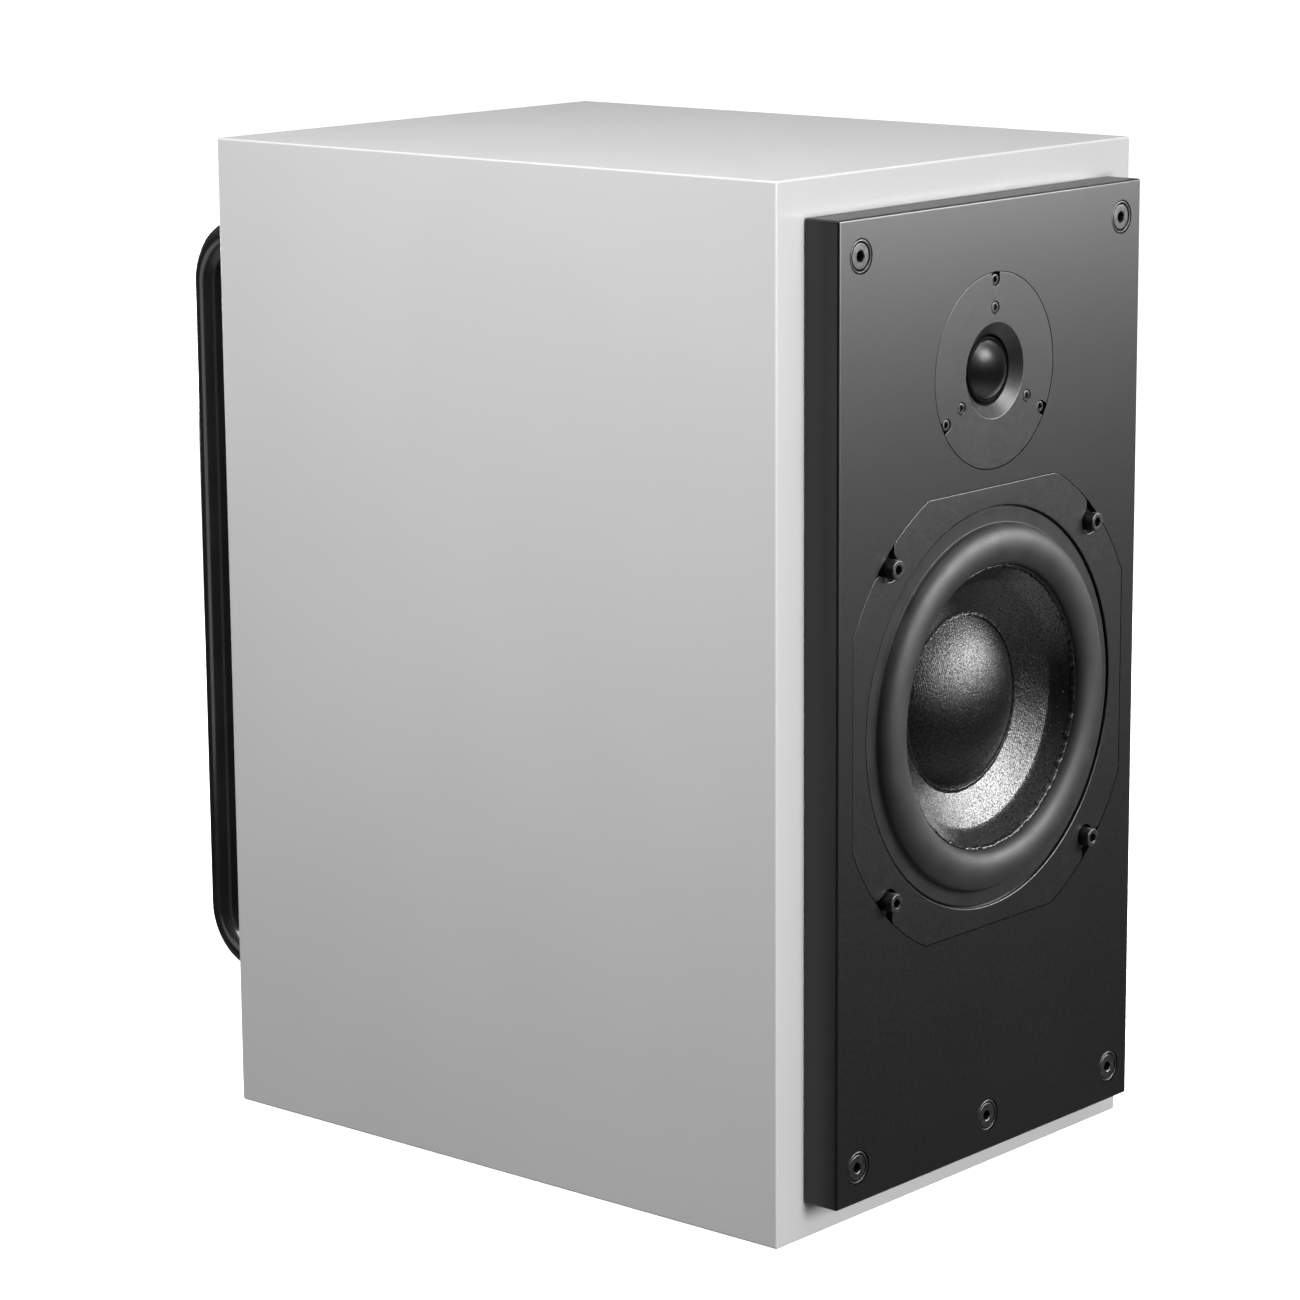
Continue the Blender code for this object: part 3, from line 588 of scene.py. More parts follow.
def flats(reach, centre_z):
    low = (-reach, -0.3, centre_z - reach)
    return block("flats", low, (reach, 0, centre_z + reach))


def baffle_screw_places():
    return [middle(f"baffle_screw_{index}") for index in range(1, 6)]


def make_baffle():
    baffle = block("baffle", BAFFLE_LOW, BAFFLE_HIGH)
    round_edges(baffle, 0.0010, 4)
    seat = [(0, 2), (105.9, 2), (105.9, -7.1), (90.5, -7.1), (90.5, -25), (0, -25)]
    hole = lathe("seat", seat, WOOFER)
    cut(hole, flats(0.0958, WOOFER.z), "INTERSECT")
    cut(baffle, hole)
    seat = [(0, 2), (41.8, 2), (41.8, -5.3), (33, -5.3), (33, -25), (0, -25)]
    cut(baffle, lathe("tweeter seat", seat, TWEETER))
    way = [(0, 2), (7.45, 2), (7.45, -1.3), (5.95, -1.3), (5.95, -6.4), (0, -6.4)]
    for place in baffle_screw_places():
        cut(baffle, lathe("way", way, Vector((place.x, FRONT, place.z)), sides=SMALL))
    round_edges(baffle, 0.00018, 2, 50, on_front)
    show(baffle, BLACK, nodes=["front_baffle"])


# ---------------------------------------------------------------- screws


def hexagon(place, flats_mm, facing, mouth, floor, turn):
    radius = flats_mm * MM / math.sqrt(3)
    outline = []
    for side in range(6):
        angle = math.radians(60 * side + turn)
        outline.append((place.x + radius * math.cos(angle), place.z + radius * math.sin(angle)))
    ends = sorted((place.y + facing * mouth * MM, place.y + facing * floor * MM))
    return extrude("hexagon", outline, *ends)


def cap_screw(node, name, seat, head, shank, flats_mm, turn=0, facing=FRONT_FACING, lip=0.5):
    """head and shank are (radius, length). The socket's mouth is countersunk."""
    centre = middle(node)
    place = Vector((centre.x, seat, centre.z))
    radius, length = head
    thin, reach = shank
    profile = [
        (0, length),
        (radius, length, lip),
        (radius, 0.3),
        (radius - 0.3, 0),
        (thin, 0),
        (thin, -reach + thin),
        (thin * 0.55, -reach),
        (0, -reach),
    ]
    screw = lathe(name, profile, place, facing, SMALL)
    depth = length * 0.42
    cut(screw, hexagon(place, flats_mm, facing, length + 1, depth, turn))
    across = flats_mm / math.sqrt(3)
    mouth = length + 0.3
    floor = length - 0.45
    sink = [(0, mouth), (across + 0.55, mouth), (across * 0.84, floor), (0, floor)]
    cut(screw, lathe("sink", sink, place, facing, SMALL))
    show(screw, OXIDE, nodes=[node], angle=28)
    return screw


def make_baffle_screws():
    for index, place in enumerate(baffle_screw_places()):
        name = f"baffle_bolt_{index + 1}"
        node = f"baffle_screw_{index + 1}"
        seat = FRONT + 0.0062
        cap_screw(node, name, seat, (5.55, 5.9), (2.5, 24), 4.3, turn=17 * index)
        ring = [(5.95, -1.28), (5.95, -0.5, 0.15), (6.25, -0.1, 0.3)]
        ring += [(6.75, -0.1, 0.45), (7.15, -0.6, 0.2), (7.15, -1.28)]
        washer = lathe(f"baffle_washer_{index + 1}", ring, Vector((place.x, FRONT, place.z)), sides=MEDIUM)
        show(washer, OXIDE)


# ---------------------------------------------------------------- woofer


def notch_outline(reach, edge_radius, radius, corner, mouth):
    """Half a circle round a bolt whose two ends turn outwards into the flange's edge.

    Points are (across, outward) from the bolt, in millimetres.
    """
    edge = edge_radius - corner
    apart = radius + corner
    out = (edge * edge - apart * apart - reach * reach) / (2 * reach)
    across = math.sqrt(apart * apart - out * out)
    lean = math.atan2(out, across)
    bend = math.atan2(reach + out, across)
    points = [(across + 3, mouth)]
    for step in range(11):
        angle = bend + (math.pi + lean - bend) * step / 10
        points.append((across + corner * math.cos(angle), out + corner * math.sin(angle)))
    for step in range(1, 13):
        angle = lean - (math.pi / 2 + lean) * step / 12
        points.append((radius * math.cos(angle), radius * math.sin(angle)))
    return points + [(-a, b) for a, b in points[-2::-1]]


def turned_outline(outline, centre, angle):
    """An outline of (across, outward) millimetres set at centre, its outward side along angle."""
    out = Vector((math.cos(angle), math.sin(angle)))
    side = Vector((out.y, -out.x))
    return [tuple(centre + (side * a + out * b) * MM) for a, b in outline]


def make_basket():
    profile = [
        (86.9, -1.8),
        (86.9, 0, 0.5),
        (105.6, 0),
        (105.6, -5.5),
        (90, -5.5, 1.5),
        (86.5, -9, 2),
        (67, -31, 2),
        (64, -38.7, 1),
        (45, -38.7),
        (45, -35.5),
        (57.5, -35.5),
        (57.5, -29),
        (62, -29, 1),
        (80, -8, 1),
        (80, -1.8),
    ]
    basket = lathe("woofer_chassis", profile, WOOFER)
    cut(basket, flats(0.0955, WOOFER.z), "INTERSECT")
    for index in range(6):
        angle = math.radians(60 * index + 30)
        window = block("window", (-0.019, -0.007, -0.016), (0.019, 0.007, 0.016))
        turn = Euler((0, math.radians(90) - angle, 0)).to_matrix().to_4x4()
        across = Vector((0.074 * math.cos(angle), 0.0195, 0.074 * math.sin(angle)))
        window.data.transform(Matrix.Translation(WOOFER + across) @ turn)
        cut(basket, window)
    outline = notch_outline(100, 105.6, 5.5, 4.5, 12)
    for index in range(4):
        centre = middle(f"woofer_screw_{index + 1}")
        angle = math.atan2(centre.z - WOOFER.z, centre.x)
        there = turned_outline(outline, Vector((centre.x, centre.z)), angle)
        cut(basket, extrude("notch", there, FRONT - 0.002, FRONT + 0.003))
    round_edges(basket, 0.0003, 2, 50, on_front)
    show(basket, CAST, nodes=["woofer_basket"], angle=35)
    for index in range(4):
        node = f"woofer_screw_{index + 1}"
        name = f"woofer_bolt_{index + 1}"
        cap_screw(node, name, FRONT + 0.0027, (4.1, 7.0), (2.2, 12), 3.7, turn=12 + 23 * index)


def arc_points(centre, width, height, start, end, steps):
    points = []
    for step in range(steps + 1):
        angle = math.radians(start + (end - start) * step / steps)
        points.append((centre[0] + width * math.cos(angle), centre[1] + height * math.sin(angle)))
    return points


def spread_weights(obj, place, inner, outer):
    """Weights by distance from the driver's axis, 0 within inner and 1 beyond outer; they are worked out but
    not kept.
    """
    points = np.array([vert.co for vert in obj.data.vertices], float)
    away = np.hypot(points[:, 0], points[:, 2] - place.z) / MM
    share = np.clip((away - inner) / (outer - inner), 0, 1)
    share = share * share * (3 - 2 * share)


def flex(obj, finish, node, place, inner, outer):
    """A ring, shaded, finished and baked in place of its CAD node. Weights from radius inner to outer are
    worked out for it but not kept.
    """
    shade(obj)
    obj.data.materials.clear()
    obj.data.materials.append(finish.material)
    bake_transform(obj)
    spread_weights(obj, place, inner, outer)
    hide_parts(node)


CONE_RIDGE = 53.6


def cone_front(radius):
    """The height and the slope of the cone's face at a radius: flared inside its ridge, straight outside."""
    if radius > CONE_RIDGE:
        return -8.0 + (radius - CONE_RIDGE) * 1.006, math.atan(1.006)
    out = radius - 38.2
    return -16.75 + 0.50 * out + 0.0044 * out * out, math.atan(0.50 + 0.0088 * out)


def make_woofer_cone():
    body = "woofer_cone_assembly"
    over = arc_points((70.4, -0.4), 8.8, 5.6, 175, 5, 40)
    under = arc_points((70.4, -0.6), 7.9, 4.6, 0, 180, 30)
    lip = [(79.5, -0.5), (80.1, -0.8), (85.6, -0.8), (86.0, -1.1), (86.0, -1.5), (79.2, -1.5)]
    heel = [(61.45, -1.3), (61.45, -0.15)]
    surround = lathe("woofer_surround_roll", over + lip + under + heel, WOOFER)
    flex(surround, RUBBER, "woofer_surround", WOOFER, 61.6, 79.2)

    front = [(61.25, -0.3, 0.2), (CONE_RIDGE, cone_front(CONE_RIDGE)[0])]
    front += [(radius, cone_front(radius)[0]) for radius in np.linspace(52.8, 38.2, 13)]
    back = [(38.2, -17.8), (53.2, -9.5), (61.25, -1.45)]
    cone = lathe("woofer_cone_cloth", front + back, WOOFER)
    show(cone, CLOTH, body, ["woofer_cone"])

    half = 37.6
    rise = 14.0
    sphere = (half * half + rise * rise) / (2 * rise)
    sweep = math.degrees(math.asin(half / sphere))
    heart = (0, -16.8 + rise - sphere)
    outer = arc_points(heart, sphere, sphere, 90, 90 - sweep, 28)
    inner = arc_points(heart, sphere - 0.8, sphere - 0.8, 90 - sweep, 90, 28)
    outer[0] = (0, outer[0][1])
    inner[-1] = (0, inner[-1][1])
    dome = lathe("woofer_dome_cloth", outer + inner, WOOFER)
    show(dome, DOME_CLOTH, body, ["woofer_dome"])
    make_cone_glue(body)


def make_cone_glue(body):
    """Beads of black glue: round the cone's rim, round the dome, and a few stray drops."""

    def rim_waves(angle, radius, height):
        if radius > 61.1:
            return 1
        waves = math.sin(23 * angle) + 0.8 * math.sin(57 * angle + 1) + 0.7 * math.sin(91 * angle + 2)
        return 1 + 0.0028 * waves

    bead = [(61.7, -0.05), (61.2, 0.35, 0.2), (60.5, 0.1, 0.3), (59.9, -1.15), (61.0, -0.6)]
    show(lathe("cone_rim_glue", bead, WOOFER, sides=720, ripple=rim_waves), GLUE, body)

    def heel_waves(angle, radius, height):
        return 1 + 0.002 * (math.sin(19 * angle) + math.sin(43 * angle + 2))

    bead = [(37.2, -16.6), (37.7, -15.7, 0.3), (38.5, -15.9, 0.3), (39.3, -16.0), (38.6, -16.7)]
    show(lathe("dome_rim_glue", bead, WOOFER, sides=512, ripple=heel_waves), GLUE, body)

    draw = random.Random(7)
    places = [(1.0, 44.5, 0.55)]
    for _ in range(64):
        places.append((draw.uniform(-2.3, 0.6), draw.uniform(54.6, 60.4), draw.uniform(0.2, 0.46)))
    points = []
    faces = []
    for angle, radius, size in places:
        height, slope = cone_front(radius)
        out = Vector((math.cos(angle), 0, math.sin(angle)))
        heart = WOOFER + out * radius * MM + Vector((0, -height * MM, 0))
        away = (Vector((0, -1, 0)) * math.cos(slope) - out * math.sin(slope)).normalized()
        turn = away.to_track_quat("Z", "Y").to_matrix()
        start = len(points)
        rings, sides = 4, 10
        for ring in range(1, rings):
            tilt = math.pi * ring / rings
            for i in range(sides):
                spin = 2 * math.pi * i / sides
                wide = math.sin(tilt)
                local = Vector((wide * math.cos(spin), wide * math.sin(spin), 0.7 * math.cos(tilt)))
                points.append(heart + turn @ local * size * MM)
        for end in (0.7, -0.7):
            points.append(heart + turn @ Vector((0, 0, end)) * size * MM)
        top, bottom = len(points) - 2, len(points) - 1
        for i in range(sides):
            j = (i + 1) % sides
            faces.append((top, start + i, start + j))
            faces.append((bottom, start + (rings - 2) * sides + j, start + (rings - 2) * sides + i))
            for ring in range(rings - 2):
                a = start + ring * sides
                faces.append((a + i, a + sides + i, a + sides + j, a + j))
    show(make_object("cone_glue_drops", points, faces), GLUE, body, angle=80)


# ---------------------------------------------------------------- tweeter


def make_tweeter():
    profile = [
        (20.3, 0, 0.35),
        (41.5, 0, 0.25),
        (41.5, -5),
        (32.4, -5),
        (32.4, -8),
        (17.2, -8),
        (17.2, -4.7),
        (14.9, -4.7),
        (15.2, -3.9, 0.25),
    ]
    plate = lathe("tweeter_plate", profile, TWEETER)
    notch = [(2.75, 6)]
    for step in range(25):
        angle = -math.pi * step / 24
        notch.append((2.75 * math.cos(angle), 2.75 * math.sin(angle)))
    notch.append((-2.75, 6))
    for index in range(3):
        centre = middle(f"tweeter_screw_{index + 1}")
        angle = math.atan2(centre.z - TWEETER.z, centre.x)
        there = turned_outline(notch, Vector((centre.x, centre.z)), angle)
        cut(plate, extrude("notch", there, FRONT - 0.002, FRONT + 0.0032))
        centre = middle(f"tweeter_clamp_screw_{index + 1}")
        seat = [(0, 1), (3.9, 1), (2.6, -0.35), (2.6, -2.2), (0, -2.2)]
        place = Vector((centre.x, FRONT, centre.z))
        cut(plate, lathe("clamp seat", seat, place, sides=SMALL))
    round_edges(plate, 0.00015, 2, 50, on_front)
    show(plate, CAST, nodes=["tweeter_faceplate"])
    for index in range(3):
        node = f"tweeter_screw_{index + 1}"
        seat = FRONT + 0.0029
        cap_screw(node, f"tweeter_bolt_{index + 1}", seat, (2.4, 2.5), (1.3, 12), 2.3, 11 * index, lip=0.35)
        node = f"tweeter_clamp_screw_{index + 1}"
        seat = FRONT + 0.0019
        cap_screw(node, f"tweeter_clamp_{index + 1}", seat, (2.35, 1.7), (1.4, 7), 2.2, 31 * index, lip=0.35)

    body = "tweeter_dome_assembly"
    half = 12.5
    rise = 6.0
    sphere = (half * half + rise * rise) / (2 * rise)
    sweep = math.degrees(math.asin(half / sphere))
    heart = (0, -3.9 + rise - sphere)
    outer = arc_points(heart, sphere, sphere, 90, 90 - sweep, 24)
    inner = arc_points(heart, sphere - 0.5, sphere - 0.5, 90 - sweep, 90, 24)
    outer[0] = (0, outer[0][1])
    inner[-1] = (0, inner[-1][1])
    dome = lathe("tweeter_dome_silk", outer + inner, TWEETER)
    show(dome, SILK, body, ["tweeter_dome"])

    crest = arc_points((13.1, -4.35), 0.5, 0.6, 180, 0, 16)
    lip = [(13.9, -5.1), (17.0, -5.1), (17.0, -5.6), (13.9, -5.6), (13.35, -4.75), (12.62, -4.7)]
    ring = lathe("tweeter_suspension", crest + lip, TWEETER)
    flex(ring, RUBBER, "tweeter_surround", TWEETER, 13.3, 14.5)


# ---------------------------------------------------------------- rear


def rounded_rectangle(low, high, radius, steps=5):
    corners = [(low[0], low[1], radius), (high[0], low[1], radius)]
    corners += [(high[0], high[1], radius), (low[0], high[1], radius)]
    return fillet(corners, True, steps)


def on_rear_of(level):
    return lambda point: abs(point.y - level) < 0.00002


def make_panel():
    low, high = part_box("amp_panel")
    outline = rounded_rectangle((low.x, low.z), (high.x, high.z), 0.003)
    panel = extrude("amplifier_panel", outline, low.y, high.y)
    for node in ("mains_inlet", "mains_switch"):
        inner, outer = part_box(node)
        edge = 0.0018
        start = (inner.x + edge, low.y - 0.002, inner.z + edge)
        cut(panel, block("cut-out", start, (outer.x - edge, high.y + 0.002, outer.z - edge)))
    for node, radius in (("signal_socket", 12.2), ("level_knob", 4.0)):
        place = middle(node)
        place.y = high.y
        hole = [(0, 2), (radius, 2), (radius, -6), (0, -6)]
        cut(panel, lathe("round cut-out", hole, place, REAR_FACING, SMALL))
    round_edges(panel, 0.0005, 2, 50, on_rear_of(high.y))
    show(panel, PANEL, nodes=["amp_panel"])
    for index in range(4):
        node = f"panel_screw_{index + 1}"
        cap_screw(node, f"panel_bolt_{index + 1}", SEAT, (3.6, 2.4), (2.0, 15), 2.6, 19 * index, REAR_FACING)


def make_heat_sink():
    low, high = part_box("heat_sink")
    base = 0.006
    fin = 0.0026
    gaps = 12
    pitch = (high.x - low.x - fin) / gaps
    corners = [(low.x, low.y)]
    for index in range(gaps + 1):
        left = low.x + index * pitch
        if index:
            corners.append((left, low.y + base, 0.0009))
        corners.append((left, high.y, 0.0009))
        corners.append((left + fin, high.y, 0.0009))
        if index < gaps:
            corners.append((left + fin, low.y + base, 0.0009))
    corners.append((high.x, low.y))
    sink = extrude("cooling_fins", fillet(corners, True, 4), low.z, high.z, "Z")
    round_edges(sink, 0.0003, 2, 50)
    show(sink, ANODISED, nodes=["heat_sink"])


def make_handle(node, name):
    low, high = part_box(node)
    x = (low.x + high.x) / 2
    radius = 0.0075
    foot = 0.011
    far = high.y - radius
    bottom = low.z + foot
    top = high.z - foot
    bend = 0.0225
    swell = [(0, 10.7), (0.25, 11), (2.6, 11), (2.95, 10.75), (3.3, 9.6)]
    swell += [(4.0, 8.85), (7.4, 8.8), (7.7, 8.5), (8.0, 7.5)]
    stations = [(Vector((x, SEAT + out * MM, bottom)), Vector((0, 1, 0)), r * MM) for out, r in swell]
    for step in range(17):
        angle = math.pi / 2 * step / 16
        place = (x, far - bend + bend * math.sin(angle), bottom + bend - bend * math.cos(angle))
        stations.append((Vector(place), Vector((0, math.cos(angle), math.sin(angle))), radius))
    mirrored = []
    for place, way, size in stations[::-1]:
        there = Vector((x, place.y, bottom + top - place.z))
        mirrored.append((there, Vector((0, -way.y, way.z)), size))
    stations += mirrored
    sides = 40
    points = []
    for place, way, size in stations:
        side = Vector((1, 0, 0))
        up = way.cross(side)
        for i in range(sides):
            angle = 2 * math.pi * i / sides
            points.append(place + (side * math.cos(angle) + up * math.sin(angle)) * size)
    faces = []
    for row in range(len(stations) - 1):
        for i in range(sides):
            j = (i + 1) % sides
            a = row * sides
            b = a + sides
            faces.append((a + i, a + j, b + j, b + i))
    faces.append(tuple(range(sides)))
    faces.append(tuple(range(len(points) - sides, len(points))))
    show(make_object(name, points, faces), TUBE, nodes=[node], angle=40)


def make_inlet():
    low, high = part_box("mains_inlet")
    centre = middle("mains_inlet")
    x, z = centre.x, centre.z
    outline = rounded_rectangle((low.x, low.z), (high.x, high.z), 0.003)
    inlet = extrude("mains_inlet_body", outline, SEAT, high.y)
    tub = block("tub", (x - 0.0138, low.y, z - 0.0203), (x + 0.0138, SEAT + 0.001, z + 0.0203))
    cut(inlet, tub, "UNION")
    bevel = 0.0045
    recess = [(x - 0.012, z - 0.001, 0.0008), (x + 0.012, z - 0.001, 0.0008)]
    recess += [(x + 0.012, z + 0.0165 - bevel, 0.0008), (x + 0.012 - bevel, z + 0.0165, 0.0008)]
    recess += [(x - 0.012 + bevel, z + 0.0165, 0.0008), (x - 0.012, z + 0.0165 - bevel, 0.0008)]
    cut(inlet, extrude("recess", fillet(recess, True, 3), SEAT - 0.014, SEAT + 0.01))
    slot = ((x - 0.0115, SEAT - 0.020, z - 0.0150), (x + 0.0115, SEAT + 0.01, z - 0.0065))
    cut(inlet, block("slot", *slot))
    round_edges(inlet, 0.0004, 2, 50, on_rear_of(high.y))
    show(inlet, PLASTIC, nodes=["mains_inlet"])
    for index, (dx, dz) in enumerate(((-0.007, 0.0055), (0.007, 0.0055), (0, 0.0105))):
        start = (x + dx - 0.001, SEAT - 0.0142, z + dz - 0.002)
        blade = block(f"mains_blade_{index + 1}", start, (x + dx + 0.001, SEAT - 0.0035, z + dz + 0.002))
        round_edges(blade, 0.0003, 2, 50)
        show(blade, STEEL)

    low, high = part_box("fuse_drawer")
    drawer = block("fuse_tray", low, high)
    bay = ((x - 0.0085, SEAT - 0.016, z - 0.0130), (x + 0.0085, SEAT - 0.004, z))
    cut(drawer, block("bay", *bay))
    slot_low = (x - 0.005, high.y - 0.0008, low.z + 0.0022)
    slot_high = (x + 0.005, high.y + 0.002, low.z + 0.0032)
    cut(drawer, block("grip", slot_low, slot_high))
    round_edges(drawer, 0.0003, 2, 50, on_rear_of(high.y))
    show(drawer, PLASTIC, "drawer", ["fuse_drawer"])


def make_signal_socket():
    low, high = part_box("signal_socket")
    centre = middle("signal_socket")
    place = Vector((centre.x, SEAT, centre.z))
    outline = rounded_rectangle((low.x, low.z), (high.x, high.z), 0.0035)
    socket = extrude("signal_socket_body", outline, SEAT, high.y)
    barrel = [(0, 1), (11.8, 1), (11.8, -22), (0, -22)]
    cut(socket, lathe("barrel", barrel, place, REAR_FACING, MEDIUM), "UNION")
    groove = [(8.6, 4), (10.6, 4), (10.6, -13), (8.6, -13)]
    cut(socket, lathe("groove", groove, place, REAR_FACING, MEDIUM))
    for angle in (30, 150, 270):
        turn = math.radians(angle)
        there = place + Vector((math.cos(turn), 0, math.sin(turn))) * 0.0038
        hole = [(0, 4), (2.2, 4), (1.4, 1.6), (1.4, -12), (0, -12)]
        cut(socket, lathe("contact", hole, there, REAR_FACING, 24))
    round_edges(socket, 0.0004, 2, 50, on_rear_of(high.y))
    show(socket, PLASTIC, nodes=["signal_socket"])


def make_switch():
    low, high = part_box("mains_switch")
    centre = middle("mains_switch")
    x, z = centre.x, centre.z
    outline = rounded_rectangle((low.x, low.z), (high.x, high.z), 0.0015)
    case = extrude("switch_case", outline, SEAT, high.y)
    tub = block("tub", (x - 0.0065, low.y, z - 0.0096), (x + 0.0065, SEAT + 0.001, z + 0.0096))
    cut(case, tub, "UNION")
    well = ((x - 0.0055, SEAT - 0.005, z - 0.0078), (x + 0.0055, SEAT + 0.01, z + 0.0078))
    cut(case, block("well", *well))
    round_edges(case, 0.0004, 2, 50, on_rear_of(high.y))
    show(case, PLASTIC, nodes=["mains_switch"])

    outline = [(-2.5, -6, 0.3), (3, -7, 0.4)]
    dish = []
    for step in range(1, 16):
        t = -1 + step / 8
        dish.append((1.4 + 1.6 * t * t, 7 * t))
    outline += dish + [(3, 7, 0.4), (-2.5, 6, 0.3)]
    half = 0.0051
    rocker = extrude("rocker", [(a * MM, b * MM) for a, b in fillet(outline, True, 3)], -half, half, "X")
    tilt = Matrix.Rotation(math.radians(10), 4, "X")
    rocker.data.transform(Matrix.Translation((x, SEAT + 0.0012, z)) @ tilt)
    round_edges(rocker, 0.0003, 2, 50)
    show(rocker, PLASTIC, "rocker", ["mains_rocker"])


def make_level_control():
    centre = middle("level_knob")
    place = Vector((centre.x, SEAT, centre.z))
    pot = [(3.3, 3.5), (3.7, 3.5, 0.2), (3.7, -4.0), (8.5, -4.0, 0.5), (8.5, -13, 0.5), (3.3, -13)]
    show(lathe("level_pot_body", pot, place, REAR_FACING, MEDIUM), STEEL, nodes=["level_pot"])

    def grip(angle, radius, height):
        if radius < 7.0 or not 4.0 < height < 16.5:
            return 1
        return 1 - 0.028 * (0.5 - 0.5 * math.cos(24 * angle)) ** 0.7

    skirt = [(0, 17), (7.3, 17, 0.8), (8.0, 15.6), (8.5, 10), (8.9, 4.6, 0.3), (9.0, 4.3), (9.0, 0.6, 0.3)]
    bore = [(4.4, 0.6), (4.4, 4.2), (3.0, 4.2), (3.0, -12.5), (0, -12.5)]
    knob = lathe("level_knob_cap", skirt + bore, place, REAR_FACING, 192, ripple=grip)
    start = (place.x - 0.0005, SEAT + 0.0060, place.z + 0.0058)
    cut(knob, block("pointer", start, (place.x + 0.0005, SEAT + 0.0180, place.z + 0.0095)))
    show(knob, PLASTIC, "knob", ["level_knob"], angle=40)


make_cabinet()
make_baffle()
make_baffle_screws()
make_basket()
make_woofer_cone()
make_tweeter()
make_panel()
make_heat_sink()
make_handle("handle_left", "grab_handle_left")
make_handle("handle_right", "grab_handle_right")
make_inlet()
make_signal_socket()
make_switch()
make_level_control()


# ---------------------------------------------------------------- nodes that keep their CAD shape

FINISHES = (BOARD, FOAM, RUBBER, SPIDER, OXIDE, STEEL, FERRITE, COPPER, PANEL, ANODISED)
FINISHES += (WHITE, BLACK, CAST, CLOTH, TUBE, PLASTIC, SOLDER, SLEEVE)
BY_SLOT = {finish.slot: finish.material for finish in FINISHES}

for part in frame["record"]["subparts"]:
    node = frame["nodes"][part["node"]]
    if not node.hide_render:
        node.data.materials.clear()
        node.data.materials.append(BY_SLOT[part["material_slot"]])


# ---------------------------------------------------------------- studio


def make_floor():
    """A pale floor that sweeps up into a wall all round, far from the object."""
    profile = [(0, 0), (3.0, 0), (4.5, 0.15), (5.6, 0.8), (6.2, 1.9), (6.4, 3.4), (6.4, 6.0)]
    sides = 96
    points = [(0, 0, 0)]
    faces = []
    for radius, height in profile[1:]:
        for i in range(sides):
            angle = 2 * math.pi * i / sides
            points.append((radius * math.cos(angle), radius * math.sin(angle), height))
    for i in range(sides):
        j = (i + 1) % sides
        faces.append((0, 1 + i, 1 + j))
        for row in range(len(profile) - 2):
            a = 1 + row * sides
            b = a + sides
            faces.append((a + i, b + i, b + j, a + j))
    mesh = bpy.data.meshes.new("floor")
    mesh.from_pydata(points, [], faces)
    mesh.shade_smooth()
    floor = place_object("floor", mesh)
    made = Finish("floor", (0.85, 0.85, 0.85), 0.8)
    made.shader.inputs["Emission Color"].default_value = (1, 1, 1, 1)
    made.shader.inputs["Emission Strength"].default_value = 0.9
    made.bump(made.noise(0.01, 2), 0.0001, 0.1)
    floor.data.materials.append(made.material)
    floor.visible_glossy = False
    floor.visible_diffuse = False


def softbox(name, azimuth, elevation, size, radiance, only=(), distance=1.3):
    """A rectangular light aimed at the object. Azimuth runs from -Y towards +X, in degrees.

    With only, it falls on the pieces named there and on nothing else.
    """
    turn = math.radians(azimuth)
    lift = math.radians(elevation)
    out = (math.sin(turn) * math.cos(lift), -math.cos(turn) * math.cos(lift), math.sin(lift))
    data = bpy.data.lights.new(name, "AREA")
    data.shape = "RECTANGLE"
    data.size, data.size_y = size
    data.energy = radiance * math.pi * size[0] * size[1]
    light = bpy.data.objects.new(name, data)
    bpy.context.scene.collection.objects.link(light)
    light.location = LIT_POINT + Vector(out) * distance
    light.rotation_euler = Vector(out).to_track_quat("Z", "Y").to_euler()
    light.visible_camera = False
    if only:
        lit = bpy.data.collections.new(name + " falls on")
        for piece in only:
            lit.objects.link(bpy.data.objects[piece])
        light.light_linking.receiver_collection = lit


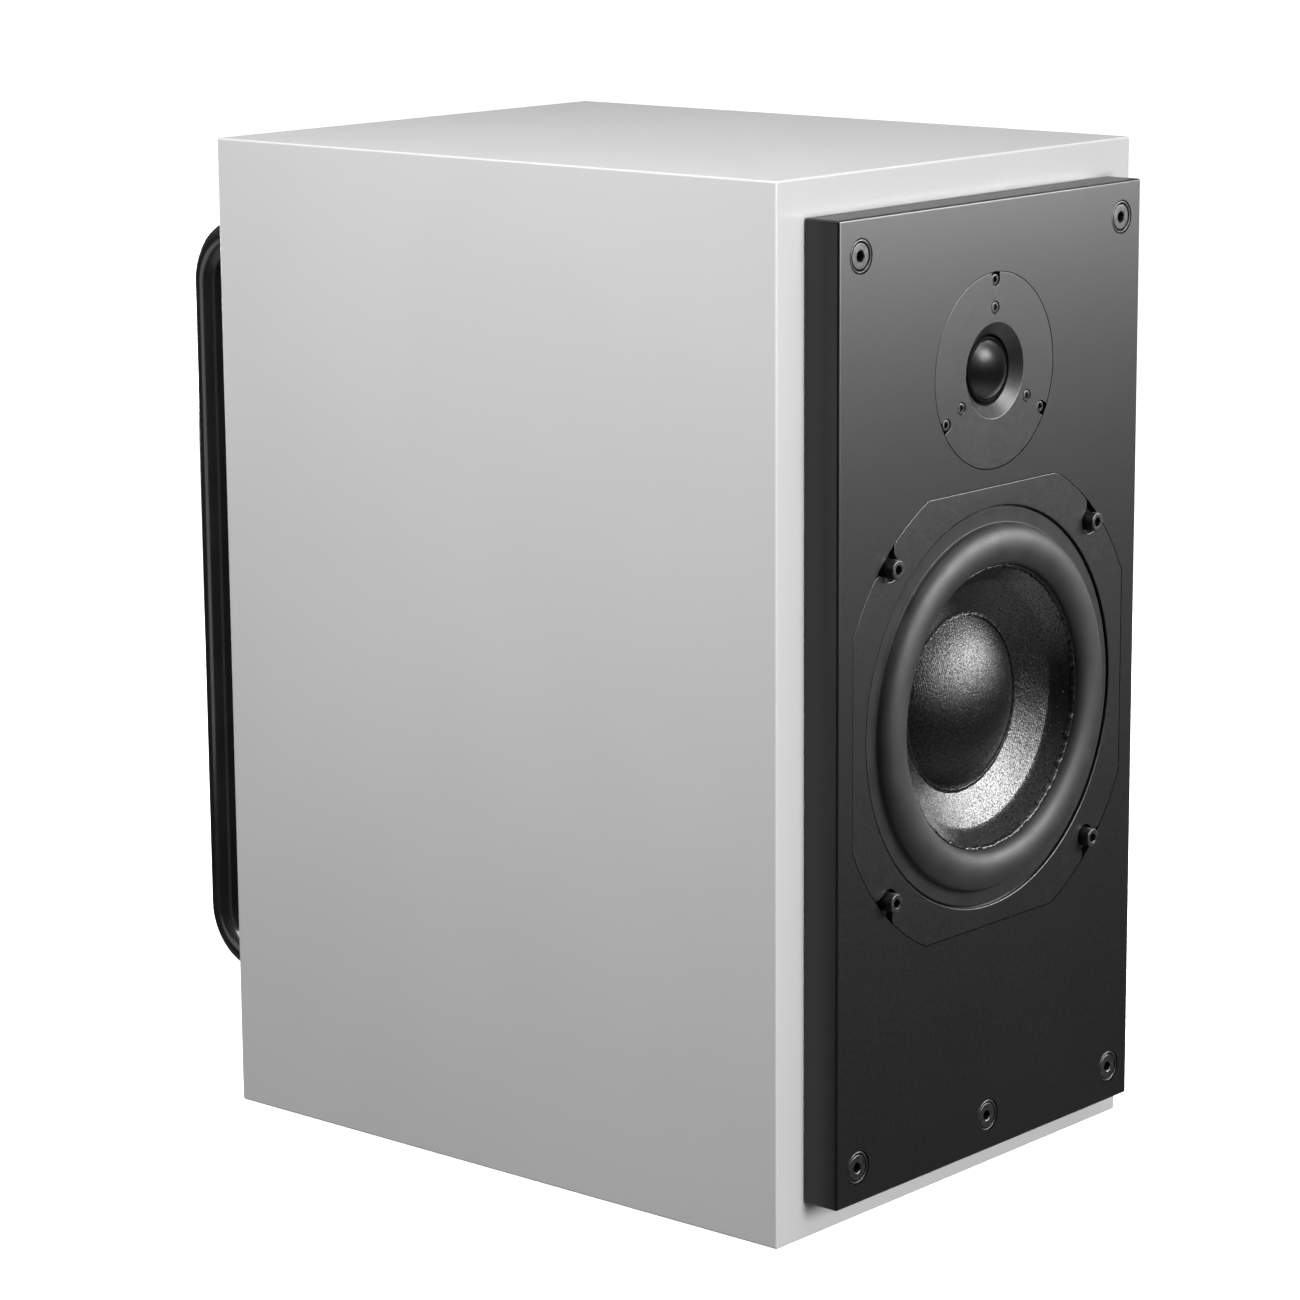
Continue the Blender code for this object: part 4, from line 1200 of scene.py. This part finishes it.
def make_world():
    world = bpy.data.worlds.new("studio")
    bpy.context.scene.world = world
    world.use_nodes = True
    tree = world.node_tree
    background = tree.nodes["Background"]
    direction = tree.nodes.new("ShaderNodeTexCoord").outputs["Generated"]
    axes = tree.nodes.new("ShaderNodeSeparateXYZ")
    tree.links.new(direction, axes.inputs["Vector"])
    ramp = tree.nodes.new("ShaderNodeValToRGB")
    height = tree.nodes.new("ShaderNodeMapRange")
    height.inputs["From Min"].default_value = -1
    tree.links.new(axes.outputs["Z"], height.inputs["Value"])
    tree.links.new(height.outputs["Result"], ramp.inputs["Fac"])
    stops = [(0.0, 0.65), (0.12, 0.52), (0.22, 0.14), (0.34, 0.015), (0.5, 0.02), (0.62, 0.10)]
    stops += [(0.75, 0.28), (1.0, 0.35)]
    while len(ramp.color_ramp.elements) < len(stops):
        ramp.color_ramp.elements.new(0.5)
    for element, (position, value) in zip(ramp.color_ramp.elements, stops):
        element.position = position
        element.color = (value, value, value, 1)
    tree.links.new(ramp.outputs["Color"], background.inputs["Color"])


def make_camera():
    data = bpy.data.cameras.new("camera")
    camera = bpy.data.objects.new("camera", data)
    bpy.context.scene.collection.objects.link(camera)
    data.sensor_width = 36
    data.lens = 118.89
    camera.location = (-1.444, -1.2343, 0.618)
    camera.rotation_euler = [math.radians(a) for a in (78.013, 0.387, -49.238)]
    data.clip_start = 0.05
    data.clip_end = 50
    bpy.context.scene.camera = camera


make_floor()
make_world()
LIT_POINT = Vector((0, -0.12, 0.25))
NOT_KEYED = ("cabinet", "tweeter_dome_silk", "tweeter_suspension")
KEYED = [
    obj.name for obj in bpy.context.scene.objects if obj.type == "MESH" and obj.name not in NOT_KEYED
]
softbox("key", 33, 18, (1.35, 0.44), 27.0, KEYED)
softbox("tweeter", 12, 41, (0.7, 0.42), 12.0, ["tweeter_plate", "tweeter_dome_silk", "tweeter_suspension"])
softbox("cabinet front", -8, 10, (0.5, 0.5), 17.0, ["cabinet"])
softbox("overhead", 0, 68, (0.5, 0.45), 6.0)
softbox("side", -98, 52, (0.6, 0.6), 9.3, distance=1.15)
softbox("rear", 155, 2, (1.1, 0.28), 9.0)
softbox("right", 104, 2, (0.7, 0.28), 5.0)
softbox("low side", -130, -4, (0.5, 0.5), 1.2)
make_camera()
bpy.context.scene.view_settings.view_transform = "Standard"
